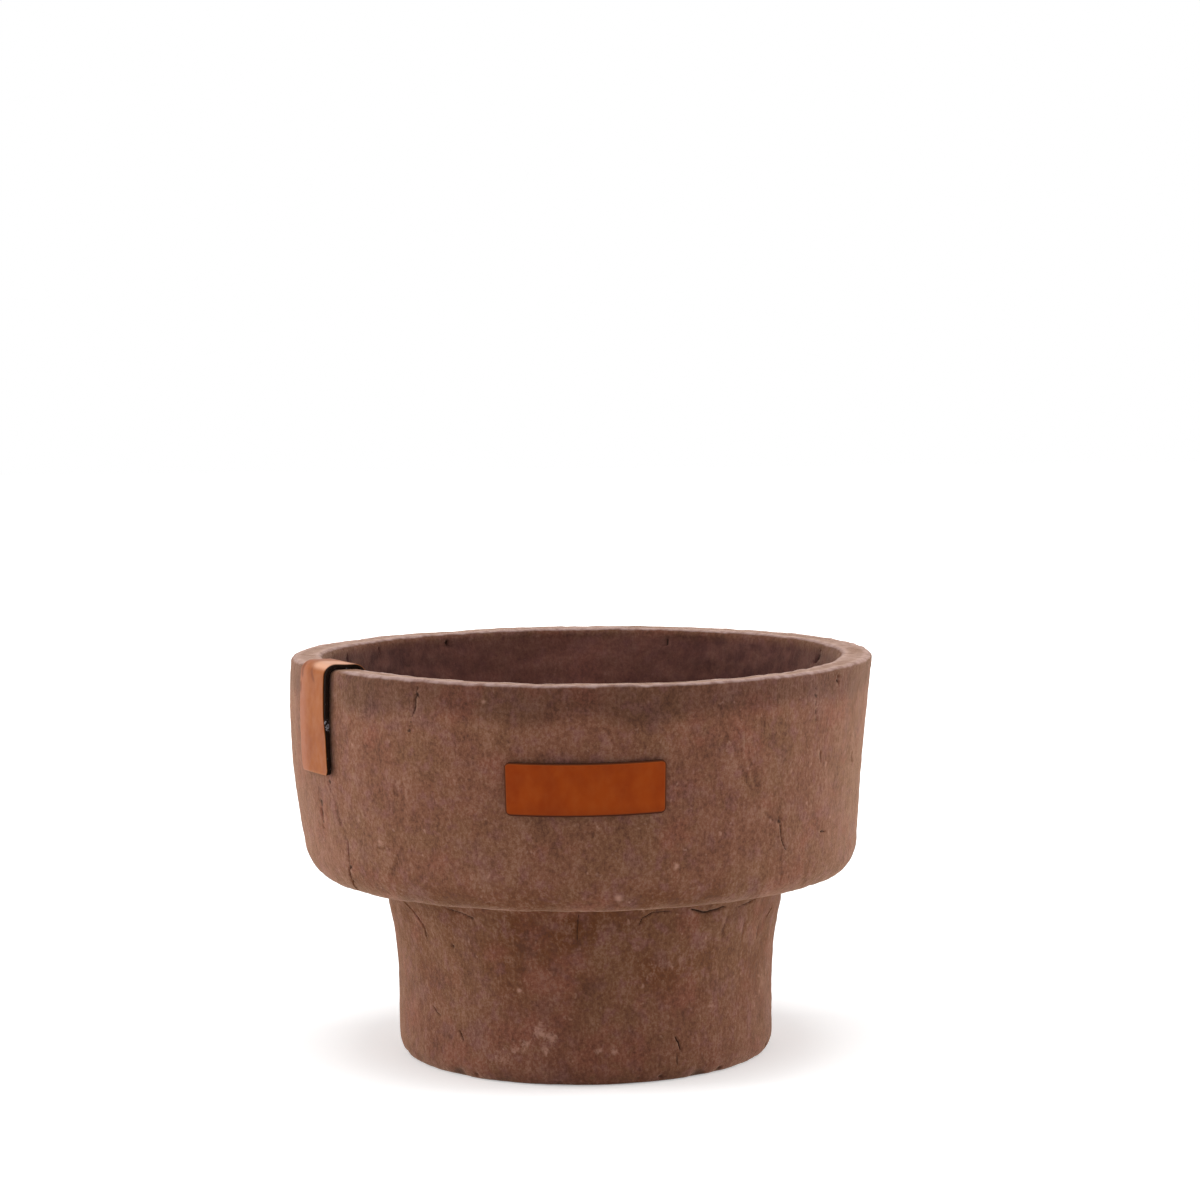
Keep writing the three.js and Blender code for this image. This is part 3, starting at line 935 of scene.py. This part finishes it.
def hollow_wall_at(z, half):
    return np.sqrt(wall_at(STRAP_TURN, z, inner_wall_radius) ** 2 - half**2)


def inner_leg_at(z):
    return hollow_wall_at(z, STRAP_WIDTH / 2) - STRAP_OFF_INSIDE


def strap_corner(leg_at, off, edge, over, way):
    """The point below the rim where a leg starts to fold, and the point where its fold meets the
    flat top, which lies towards the axis if the way is -1 and away from it if it is 1."""
    z = STRAP_RIM_HEIGHT - edge - STRAP_FOLD_SLACK
    r = float(leg_at(z))
    return (r, z), (r + way * (off + edge + STRAP_FOLD_SLACK), STRAP_RIM_HEIGHT + over)


def strap_line(step):
    """The strap's back as distances from the axis and heights, from outside over the rim to inside."""
    outer_end, inner_end = STRAP_RIM_HEIGHT - STRAP_OUTER_DROP, STRAP_RIM_HEIGHT - STRAP_INNER_DROP
    outer_fold, over_start = strap_corner(
        outer_leg_at, STRAP_OFF_OUTSIDE, RIM_OUTER_EDGE, STRAP_OVER_RIM_OUTSIDE, -1
    )
    inner_fold, over_end = strap_corner(
        inner_leg_at, STRAP_OFF_INSIDE, RIM_INNER_EDGE, STRAP_OVER_RIM_INSIDE, 1
    )
    return np.array(
        [(float(outer_leg_at(outer_end)), outer_end)]
        + wall(outer_end, outer_fold[1], outer_leg_at, step)
        + quarter(outer_fold, over_start, "z", step)
        + flat(over_start, over_end, step)
        + quarter(over_end, inner_fold, "r", step)
        + wall(inner_fold[1], inner_end, inner_leg_at, step)
    )


STRAP_LINE = strap_line(0.3)
STRAP_LINE_AT = Profile.distances(STRAP_LINE)
STRAP_LENGTH = STRAP_LINE_AT[-1]


def strap_sheet(start, end, width, corner, step):
    """The strap's sheet between two distances from the lower end of its outer leg."""
    distances = sheet_distances(end - start, corner, step)
    at = start + distances

    def on_line(at):
        return np.stack([np.interp(at, STRAP_LINE_AT, values) for values in STRAP_LINE.T], axis=1)

    reach = 0.6
    run = unit(on_line(np.minimum(at + reach, STRAP_LENGTH)) - on_line(np.maximum(at - reach, 0)))
    points = about_axis(STRAP_TURN, *on_line(at).T)
    out = about_axis(STRAP_TURN, run[:, 1], -run[:, 0])
    across = np.tile([cos(STRAP_TURN), sin(STRAP_TURN), 0.0], (len(at), 1))
    return Sheet(distances, (points, across, out), width, corner, step)


# Creases pressed into the strap's skin where it folds: distance along, side, lean, length, width, depth
STRAP_CREASES = [
    (48.5, -0.5, -0.7, 9.0, 1.0, 0.1),
    (50.0, -12.8, -0.1, 7.0, 1.8, 0.12),
    (42.0, -14.0, 0.05, 6.0, 1.0, 0.08),
    (75.0, 2.0, 0.3, 8.0, 1.0, 0.1),
]


def strap_creases(along, side, depth_power=0.0):
    """How much each point lies in a crease, each crease counted at its depth to a power."""
    total = np.zeros_like(along)
    for crease_along, crease_side, lean, length, width, depth in STRAP_CREASES:
        d_along, d_side = along - crease_along, side - crease_side
        down = d_along * cos(lean) + d_side * sin(lean)
        off = -d_along * sin(lean) + d_side * cos(lean)
        share = np.exp(-((off / width) ** 2) - (down / (length / 2)) ** 4)
        total = np.maximum(total, share * depth**depth_power)
    return total


def face_waves(along, side, *waves):
    return waves_at(np.stack([along, side, np.zeros_like(along)], axis=1), *waves)


def strap_bulge(along, side):
    waves = face_waves(along, side, (0.05, (14, 9, 1), 31), (0.025, (4, 4, 1), 32))
    return waves - strap_creases(along, side, 1.0)


def strap_inset(along):
    """How far the skin is drawn in from the board's edge, up the outer leg and over the fold."""
    outer_leg = 0.3 + 2.0 * smooth_between(along, 16, 32) + 0.3 * smooth_between(along, 34, 46)
    return 0.3 + (outer_leg - 0.3) * (1 - smooth_between(along, 51, 62))


def strap_fold_highlight(along, side):
    """1 where a highlight is painted on the skin over the outer fold."""
    return within(along, 50, 53.5, 60, 70) * smooth_between(side, -10, 3)


def strap_lint(along, side):
    return hump(along, 24.5, 4.0) * smooth_between(side, 12, 14)


def label_bulge(along, side):
    return face_waves(along, side, (0.04, (16, 9, 1), 33), (0.015, (4, 3, 1), 34))


def glue_bulge(along, side):
    return face_waves(along, side, (0.05, (3, 3, 1), 35))


def make_trim():
    """The label, the strap and their glue, each piece in place of its CAD solid."""
    label = label_sheet(0, LABEL_CORNER, LABEL_STEP)
    pad = label_sheet(LABEL_GLUE_MARGIN, GLUE_CORNER, LABEL_GLUE_STEP)
    strap = strap_sheet(0, STRAP_LENGTH, STRAP_WIDTH, STRAP_CORNER, STRAP_STEP)
    label_back = LABEL_GLUE_THICKNESS + 2 * GLUE_CLEARANCE
    label_front = label_back + LABEL_BACKING_THICKNESS
    strap_front = STRAP_BACKING_THICKNESS
    lint = [("lint", strap_lint)]
    # Stain marks in the creases, and the painted highlight over the fold
    wear_and_painted_light = [("crease", strap_creases), ("fold", strap_fold_highlight)]

    def skin(sheet, name, low, edge, bulge, **forms):
        return sheet.build(name, low, low + SKIN_THICKNESS, edge, bulge, **forms)

    def glue(sheet, name, low, high, bulge=None):
        return sheet.build(name, low + GLUE_CLEARANCE, high - GLUE_CLEARANCE, GLUE_EDGE, bulge)

    pieces = {
        "label_glue": glue(pad, "label_glue_pad", 0, label_back, glue_bulge),
        "label_backing": label.build("label_board", label_back, label_front, BOARD_EDGE),
        "label_skin": skin(label, "label_face", label_front, LABEL_FACE_EDGE, label_bulge),
        "strap_backing": strap.build("strap_board", 0, strap_front, BOARD_EDGE, lip=STRAP_LIP, marks=lint),
        "strap_skin": skin(
            strap, "strap_face", strap_front, STRAP_FACE_EDGE, strap_bulge, inset=strap_inset, marks=wear_and_painted_light
        ),
    }
    glue_width = STRAP_WIDTH - 2 * STRAP_GLUE_MARGIN
    inner_end = STRAP_RIM_HEIGHT - STRAP_INNER_DROP
    inner_gap = float(hollow_wall_at(inner_end, glue_width / 2) - inner_leg_at(inner_end))
    inner_start = STRAP_LENGTH - STRAP_GLUE_FROM_END - STRAP_GLUE_LENGTH
    for name, start, gap in (
        ("strap_glue_outside", STRAP_GLUE_FROM_END, STRAP_OFF_OUTSIDE),
        ("strap_glue_inside", inner_start, inner_gap),
    ):
        end = start + STRAP_GLUE_LENGTH
        pad = strap_sheet(start, end, glue_width, GLUE_CORNER, STRAP_GLUE_STEP)
        pieces[name] = glue(pad, name + "_pad", -gap, 0)
    return {node: new_piece(mesh.name, mesh) for node, mesh in pieces.items()}


# Materials


def colour(red, green, blue):
    """A colour given as a screen shows it, from 0 to 255, in the linear form that shaders take."""
    screen = np.array([red, green, blue]) / 255
    linear = np.where(screen <= 0.04045, screen / 12.92, ((screen + 0.055) / 1.055) ** 2.4)
    return (*(float(channel) for channel in linear), 1.0)


def feed(tree, socket, value):
    """Links a socket to another, or sets it to a number or a colour."""
    if isinstance(value, bpy.types.NodeSocket):
        tree.links.new(value, socket)
    else:
        socket.default_value = value


def add_node(tree, kind, inputs=(), **settings):
    made = tree.nodes.new(kind)
    for name, value in settings.items():
        setattr(made, name, value)
    for key, value in inputs.items() if isinstance(inputs, dict) else enumerate(inputs):
        feed(tree, made.inputs[key], value)
    return made


def add_math(tree, operation, *values, clamp=False):
    return add_node(tree, "ShaderNodeMath", values, operation=operation, use_clamp=clamp).outputs[0]


class Paint:
    """One material's nodes, with short calls for the kinds that recur, and its hue as painted so far."""

    def __init__(self, name, hue):
        self.material = bpy.data.materials.new(name)
        self.material.use_nodes = True
        self.tree = self.material.node_tree
        self.hue = hue
        self.places = {}

    def node(self, kind, inputs=(), **settings):
        return add_node(self.tree, kind, inputs, **settings)

    def times(self, value, factor, clamp=False):
        return add_math(self.tree, "MULTIPLY", value, factor, clamp=clamp)

    def total(self, first, *others):
        for other in others:
            first = add_math(self.tree, "ADD", first, other)
        return first

    def place(self, stretch):
        """The object's own coordinates in millimetres, shrunk along z by a stretch."""
        if stretch not in self.places:
            coordinates = self.node("ShaderNodeTexCoord").outputs["Object"]
            scale = (1 / MM, 1 / MM, 1 / MM / stretch)
            mapping = self.node("ShaderNodeMapping", {"Vector": coordinates, "Scale": scale})
            self.places[stretch] = mapping.outputs[0]
        return self.places[stretch]

    def noise(self, size, detail=2.0, rough=0.55, stretch=1.0, shift=0.0):
        """Noise from 0 to 1 with features of about a size in millimetres."""
        vector = self.place(stretch)
        if shift:
            moved = self.node("ShaderNodeVectorMath", [vector, (shift, -shift, shift)], operation="ADD")
            vector = moved.outputs[0]
        values = {"Vector": vector, "Scale": 1 / size, "Detail": detail, "Roughness": rough}
        return self.node("ShaderNodeTexNoise", values).outputs[0]

    def remap(self, value, low, high, to_low=0.0, to_high=1.0):
        values = [value, low, high, to_low, to_high]
        return self.node("ShaderNodeMapRange", values, interpolation_type="SMOOTHSTEP").outputs[0]

    def mix(self, share, first, second, blend="MIX"):
        values = {0: share, 6: first, 7: second}
        return self.node("ShaderNodeMix", values, data_type="RGBA", blend_type=blend).outputs[2]

    def tint(self, share, tint, blend="MIX"):
        self.hue = self.mix(share, self.hue, tint, blend)

    def grow(self, value, low, high, share, tint):
        """Lets a colour in, from none where a value is low up to a share where it is high."""
        self.tint(self.remap(value, low, high, 0, share), tint)

    def attribute(self, name):
        return self.node("ShaderNodeAttribute", attribute_name=name).outputs["Fac"]

    def bump(self, height, distance, strength=1.0, **before):
        """A normal raised by a height, on top of the one in before, if there is one."""
        values = {"Height": height, "Distance": distance * MM, "Strength": strength, **before}
        return self.node("ShaderNodeBump", values).outputs[0]

    def finish(self, **values):
        """The material, once the shader's inputs are fed. Their names have _ for a space here."""
        inputs = self.tree.nodes["Principled BSDF"].inputs
        for name, value in {"Base_Color": self.hue, **values}.items():
            feed(self.tree, inputs[name.replace("_", " ")], value)
        return self.material


def fibre_material():
    """Dry moulded paper and wood fibre: mottled purple brown, with flecks, streaks and edges pale with
    wear, and painted light and shade on its relief, inside the bowl and on the foot under the bowl.
    """
    foot_brown = colour(111, 69, 52)
    waist_shadow_brown = colour(95, 55, 30)
    bowl_brown = colour(114, 73, 55)
    olive = colour(112, 76, 54)
    red = colour(120, 72, 56)
    grey = colour(112, 75, 66)
    mauve = colour(118, 77, 70)
    dark = colour(80, 49, 37)
    pale = colour(147, 110, 93)
    scuff_and_highlight_pale = colour(170, 129, 112)
    worn_pale = colour(168, 142, 137)
    worn_brown = colour(138, 109, 102)
    hollow_purple = colour(118, 74, 72)
    hollow_shade = colour(65, 36, 34)
    crack_shade = colour(46, 28, 21)

    paint = Paint("moulded_fibre", foot_brown)
    height = paint.node("ShaderNodeSeparateXYZ", [paint.place(1.0)]).outputs[2]
    # Darker and warmer up the foot towards the bowl: a painted shadow of the bowl's overhang
    paint.grow(height, 26, 64, 1, waist_shadow_brown)
    paint.grow(height, 96, 114, 1, bowl_brown)

    # Slow changes of hue: size, detail, shift, the values between which it grows, greatest share, hue
    for size, detail, shift, low, high, share, hue in (
        (40, 3, 0, 0.42, 0.66, 0.8, olive),
        (26, 3, 71, 0.5, 0.68, 0.8, red),
        (18, 4, 37, 0.54, 0.7, 0.7, grey),
        (6, 3, 57, 0.5, 0.72, 0.6, olive),
        (7, 3, 23, 0.5, 0.72, 0.7, mauve),
    ):
        paint.grow(paint.noise(size, detail, shift=shift), low, high, share, hue)

    # Tone: random changes, and painted light and shade, paler on raised places and fold ridges and darker
    # in low places and fold grooves
    tone = paint.total(
        paint.remap(paint.noise(13, 4, 0.6, 1.3, 13), 0.3, 0.72, -0.1, 0.1),
        paint.remap(paint.noise(2.4, 3, 0.6, 5.0, 29), 0.3, 0.7, -0.06, 0.06),
        paint.remap(paint.noise(1.7, 2, 0.6, 1.2, 47), 0.28, 0.72, -0.18, 0.18),
        paint.remap(paint.noise(0.75, 1), 0.3, 0.7, -0.08, 0.08),
        paint.remap(paint.attribute("height"), 0.1, 0.9, -0.1, 0.1),
        paint.times(paint.attribute("fold"), 0.26),
        paint.times(paint.attribute("swept"), 0.6),
    )
    paint.tint(paint.times(add_math(paint.tree, "MAXIMUM", tone, 0.0), 1.5, clamp=True), pale)
    paint.tint(paint.times(add_math(paint.tree, "MINIMUM", tone, 0.0), -2.4, clamp=True), dark)

    # Flecks, specks and hairs: the noise, the values between which they grow, greatest share, hue
    for noise_of, low, high, share, hue in (
        ((3.8, 2, 0.5, 1.2, 83), 0.66, 0.8, 0.45, scuff_and_highlight_pale),
        ((1.9, 2, 0.5, 1.8, 97), 0.71, 0.78, 0.5, dark),
        ((1.2, 1, 0.5, 14.0, 91), 0.68, 0.76, 0.25, dark),
    ):
        paint.grow(paint.noise(*noise_of), low, high, share, hue)
    blots = paint.remap(paint.noise(2.6, 4, 0.65, 1.0, 5), 0.2, 0.8, -0.5, 0.5)
    paint.grow(paint.total(paint.attribute("stain"), blots), 0.25, 1.1, 0.75, dark)

    paint.tint(paint.times(paint.attribute("shade"), 0.9), (0.62, 0.6, 0.62, 1.0), "MULTIPLY")
    paint.tint(paint.times(paint.attribute("inside"), 0.4), hollow_purple)
    # Painted shade inside the bowl, in patches
    clouds = paint.remap(paint.noise(9, 4, 0.6, 1.0, 67), 0.3, 0.7, 0.5, 1.0)
    paint.tint(paint.times(paint.attribute("hollow"), clouds), hollow_shade)

    # Pale scuffs, and the painted highlight along the bowl's lower edge
    paint.grow(paint.total(paint.attribute("pale"), blots), 0.4, 1.05, 0.6, scuff_and_highlight_pale)
    paint.grow(paint.attribute("lump"), 0.1, 0.9, 0.6, scuff_and_highlight_pale)

    # The rim pale with wear, held back next to the strap as a painted shadow of the strap
    mottle = paint.remap(paint.noise(6.0, 4, 0.6, 1.0, 61), 0.25, 0.75, -0.16, 0.16)
    wear_and_painted_light = paint.mix(paint.remap(paint.noise(4.4, 4, 0.6, 1.0, 19), 0.4, 0.68), worn_pale, worn_brown)
    paint.grow(paint.total(paint.attribute("wear_and_painted_light"), mottle), 0.3, 1.0, 0.9, wear_and_painted_light)

    # Painted shade in dents, chips and cracks
    paint.grow(paint.attribute("dent"), 0.15, 0.7, 0.75, crack_shade)
    paint.grow(paint.attribute("crack"), 0.3, 0.85, 0.9, crack_shade)

    coarse = paint.bump(paint.noise(2.2, 4, 0.6, 2.0, 17), 0.5, 0.7)
    return paint.finish(
        Roughness=paint.remap(paint.noise(6, 2), 0.3, 0.7, 0.86, 0.98),
        Normal=paint.bump(paint.noise(0.7, 3, 0.65, 1.4, 37), 0.25, 0.8, Normal=coarse),
        Specular_IOR_Level=0.12,
        Sheen_Weight=0.36,
        Sheen_Roughness=0.4,
        Sheen_Tint=colour(255, 214, 182),
    )


def leather_material(name, face, deep, bright, gloss, wear_and_light):
    """Smooth saddle leather: slow changes of tone, fine pores and a painted highlight on its rounded rim.

    Its wear_and_light are what it shows of use and painted light and shade: the attribute that holds
    the place, the values between which it grows, the greatest share and the colour.
    """
    paint = Paint(name, face)
    paint.grow(paint.noise(12, 3, 0.5, 1.4), 0.3, 0.7, 1, deep)
    paint.grow(paint.noise(4.0, 2, 0.5, 1.5, 21), 0.35, 0.75, 0.12, bright)
    paint.grow(paint.noise(0.6, 2, 0.5, 1.0, 43), 0.62, 0.75, 0.22, deep)
    # A painted highlight on the rounded rim
    paint.tint(paint.remap(paint.attribute("rim_gap"), 0.5, 1.3, 0.5, 0), bright)
    for attribute, *growth in wear_and_light:
        paint.grow(paint.attribute(attribute), *growth)
    folds = paint.bump(paint.noise(5, 3, 0.5, 2.0, 9), 0.15, 0.5)
    return paint.finish(
        Roughness=paint.remap(paint.noise(4, 2, shift=3), 0.3, 0.7, 0.44, 0.56),
        Normal=paint.bump(paint.noise(0.8, 3, 0.6, 1.0, 53), 0.06, 0.7, Normal=folds),
        Specular_IOR_Level=gloss,
    )


def backing_material():
    """Black pressed board, with lint where its edge has rubbed."""
    paint = Paint("leather_backing", colour(14, 7, 4))
    paint.grow(paint.noise(0.8, 3), 0.35, 0.7, 1, colour(34, 19, 12))
    fuzz = paint.total(paint.noise(1.3, 2, 0.5, 1.0, 15), paint.times(paint.attribute("lint"), 0.2))
    paint.grow(fuzz, 0.7, 0.76, 0.6, colour(150, 145, 150))
    rough = paint.bump(paint.noise(0.5, 3), 0.15, 0.8)
    return paint.finish(Roughness=0.95, Normal=rough, Specular_IOR_Level=0.05)


def glue_material():
    paint = Paint("dried_glue", colour(176, 160, 138))
    paint.grow(paint.noise(2.5, 3), 0.35, 0.65, 1, colour(206, 194, 176))
    waves = paint.bump(paint.noise(1.5, 3), 0.3, 0.6)
    return paint.finish(Roughness=0.4, Normal=waves, Specular_IOR_Level=0.5)


# Camera, lamps, floor and world

FOCAL_PIXELS = 3383.2
IMAGE_PIXELS = 1200
SENSOR = 36.0
CAMERA_DISTANCE = 1744.0
CAMERA_HEIGHT = 388.85
CAMERA_PITCH = radians(5.09)
CAMERA_YAW = radians(0.32)
CAMERA_ROLL = radians(0.63)
AMBIENT_LEVEL = 0.6


def make_camera():
    data = bpy.data.cameras.new("camera")
    data.sensor_width = SENSOR
    data.lens = FOCAL_PIXELS / IMAGE_PIXELS * SENSOR
    data.clip_end = 100
    camera = bpy.data.objects.new("camera", data)
    camera.matrix_world = (
        Matrix.Translation((0, -CAMERA_DISTANCE * MM, CAMERA_HEIGHT * MM))
        @ Matrix.Rotation(-CAMERA_YAW, 4, "Z")
        @ Matrix.Rotation(pi / 2 - CAMERA_PITCH, 4, "X")
        @ Matrix.Rotation(-CAMERA_ROLL, 4, "Z")
    )
    bpy.context.scene.collection.objects.link(camera)
    bpy.context.scene.camera = camera


def make_softbox(name, place, size, level):
    """A square lamp aimed at the pot. Level is how brightly it alone would show a white card there."""
    data = bpy.data.lights.new(name, "AREA")
    data.shape = "SQUARE"
    data.size = size
    aim = Vector((0, 0, 0.11))
    reach = (Vector(place) - aim).length
    data.energy = level * pi**2 * reach**2
    lamp = bpy.data.objects.new(name, data)
    lamp.location = place
    lamp.rotation_euler = (aim - Vector(place)).to_track_quat("-Z", "Y").to_euler()
    bpy.context.scene.collection.objects.link(lamp)


def directly_seen(tree):
    """1 for what looks straight at a surface, or at its reflection, or at it through glass, else 0."""
    rays = tree.nodes.new("ShaderNodeLightPath").outputs
    seen = add_math(tree, "MAXIMUM", rays["Is Camera Ray"], rays["Is Glossy Ray"])
    return add_math(tree, "MAXIMUM", seen, rays["Is Transmission Ray"])


def make_world():
    """Even pale light all round, and a white background for what looks straight at it."""
    world = bpy.data.worlds.new("studio")
    bpy.context.scene.world = world
    world.use_nodes = True
    tree = world.node_tree
    background = tree.nodes["Background"].inputs
    strength = add_math(tree, "MULTIPLY_ADD", directly_seen(tree), 1 - AMBIENT_LEVEL, AMBIENT_LEVEL)
    feed(tree, background["Color"], (1, 1, 1, 1))
    feed(tree, background["Strength"], strength)


def make_floor():
    """A floor that shows the object's shadow, and a glow that keeps the rest of it white to look at."""
    half = 6.0
    corners = [(-half, -half, 0), (half, -half, 0), (half, half, 0), (-half, half, 0)]
    mesh = bpy.data.meshes.new("floor")
    mesh.from_pydata(corners, [], [(0, 1, 2, 3)])
    floor = bpy.data.objects.new("floor", mesh)
    bpy.context.scene.collection.objects.link(floor)
    paint = Paint("floor", (0.92, 0.92, 0.92, 1))
    place = paint.node("ShaderNodeTexCoord").outputs["Object"]
    away = paint.node("ShaderNodeVectorMath", [place], operation="LENGTH").outputs["Value"]
    glow = paint.node("ShaderNodeMapRange", [away, 0.5, 1.8, 0.3, 1.0]).outputs[0]
    material = paint.finish(
        Roughness=1.0,
        Specular_IOR_Level=0.0,
        Emission_Color=(1, 1, 1, 1),
        Emission_Strength=paint.times(directly_seen(paint.tree), glow),
    )
    mesh.materials.append(material)


make_camera()
make_world()
make_floor()
make_softbox("left_softbox", (-2.1, 0.2, 0.5), 1.2, 0.75)
make_softbox("right_softbox", (2.1, 0.36, 0.5), 1.2, 0.67)
make_softbox("top_softbox", (0.0, -0.5, 2.3), 1.5, 0.5)

pot = make_pot()
trim = make_trim()
looks = {
    "moulded_fibre": fibre_material(),
    "label_leather": leather_material(
        "label_leather",
        colour(140, 56, 4),
        colour(129, 47, 2),
        colour(160, 84, 36),
        0.07,
        [
            # Darker towards the lower edge and a dark lower edge line, both painted shade, and a dark cut
            # edge all round, partly the leather's own edge and partly painted shade
            ("side", 7.0, 12.0, 0.3, colour(110, 40, 4)),
            ("side", 11.6, 12.6, 0.7, colour(74, 27, 8)),
            ("rim_gap", 1.0, 0.5, 0.9, colour(56, 22, 7)),
        ],
    ),
    "strap_leather": leather_material(
        "strap_leather",
        colour(141, 78, 33),
        colour(127, 63, 20),
        colour(154, 97, 57),
        0.08,
        [
            # A painted highlight, paler and pinker towards the edge further from the front, a painted
            # highlight over the fold, and dark stain marks in the creases
            ("side", -3.0, -14.0, 0.75, colour(154, 98, 74)),
            ("fold", 0.0, 1.0, 0.75, colour(216, 166, 138)),
            ("crease", 0.0, 1.0, 0.65, colour(98, 46, 18)),
        ],
    ),
    "leather_backing": backing_material(),
    "dried_glue": glue_material(),
}
slots = {entry["node"]: entry["material_slot"] for entry in frame["record"]["subparts"]}
for node, piece in {"pot_body": pot, **trim}.items():
    piece.data.materials.append(looks[slots[node]])
    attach(piece, "root")
    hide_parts(node)

view = bpy.context.scene.view_settings
view.view_transform = "Standard"
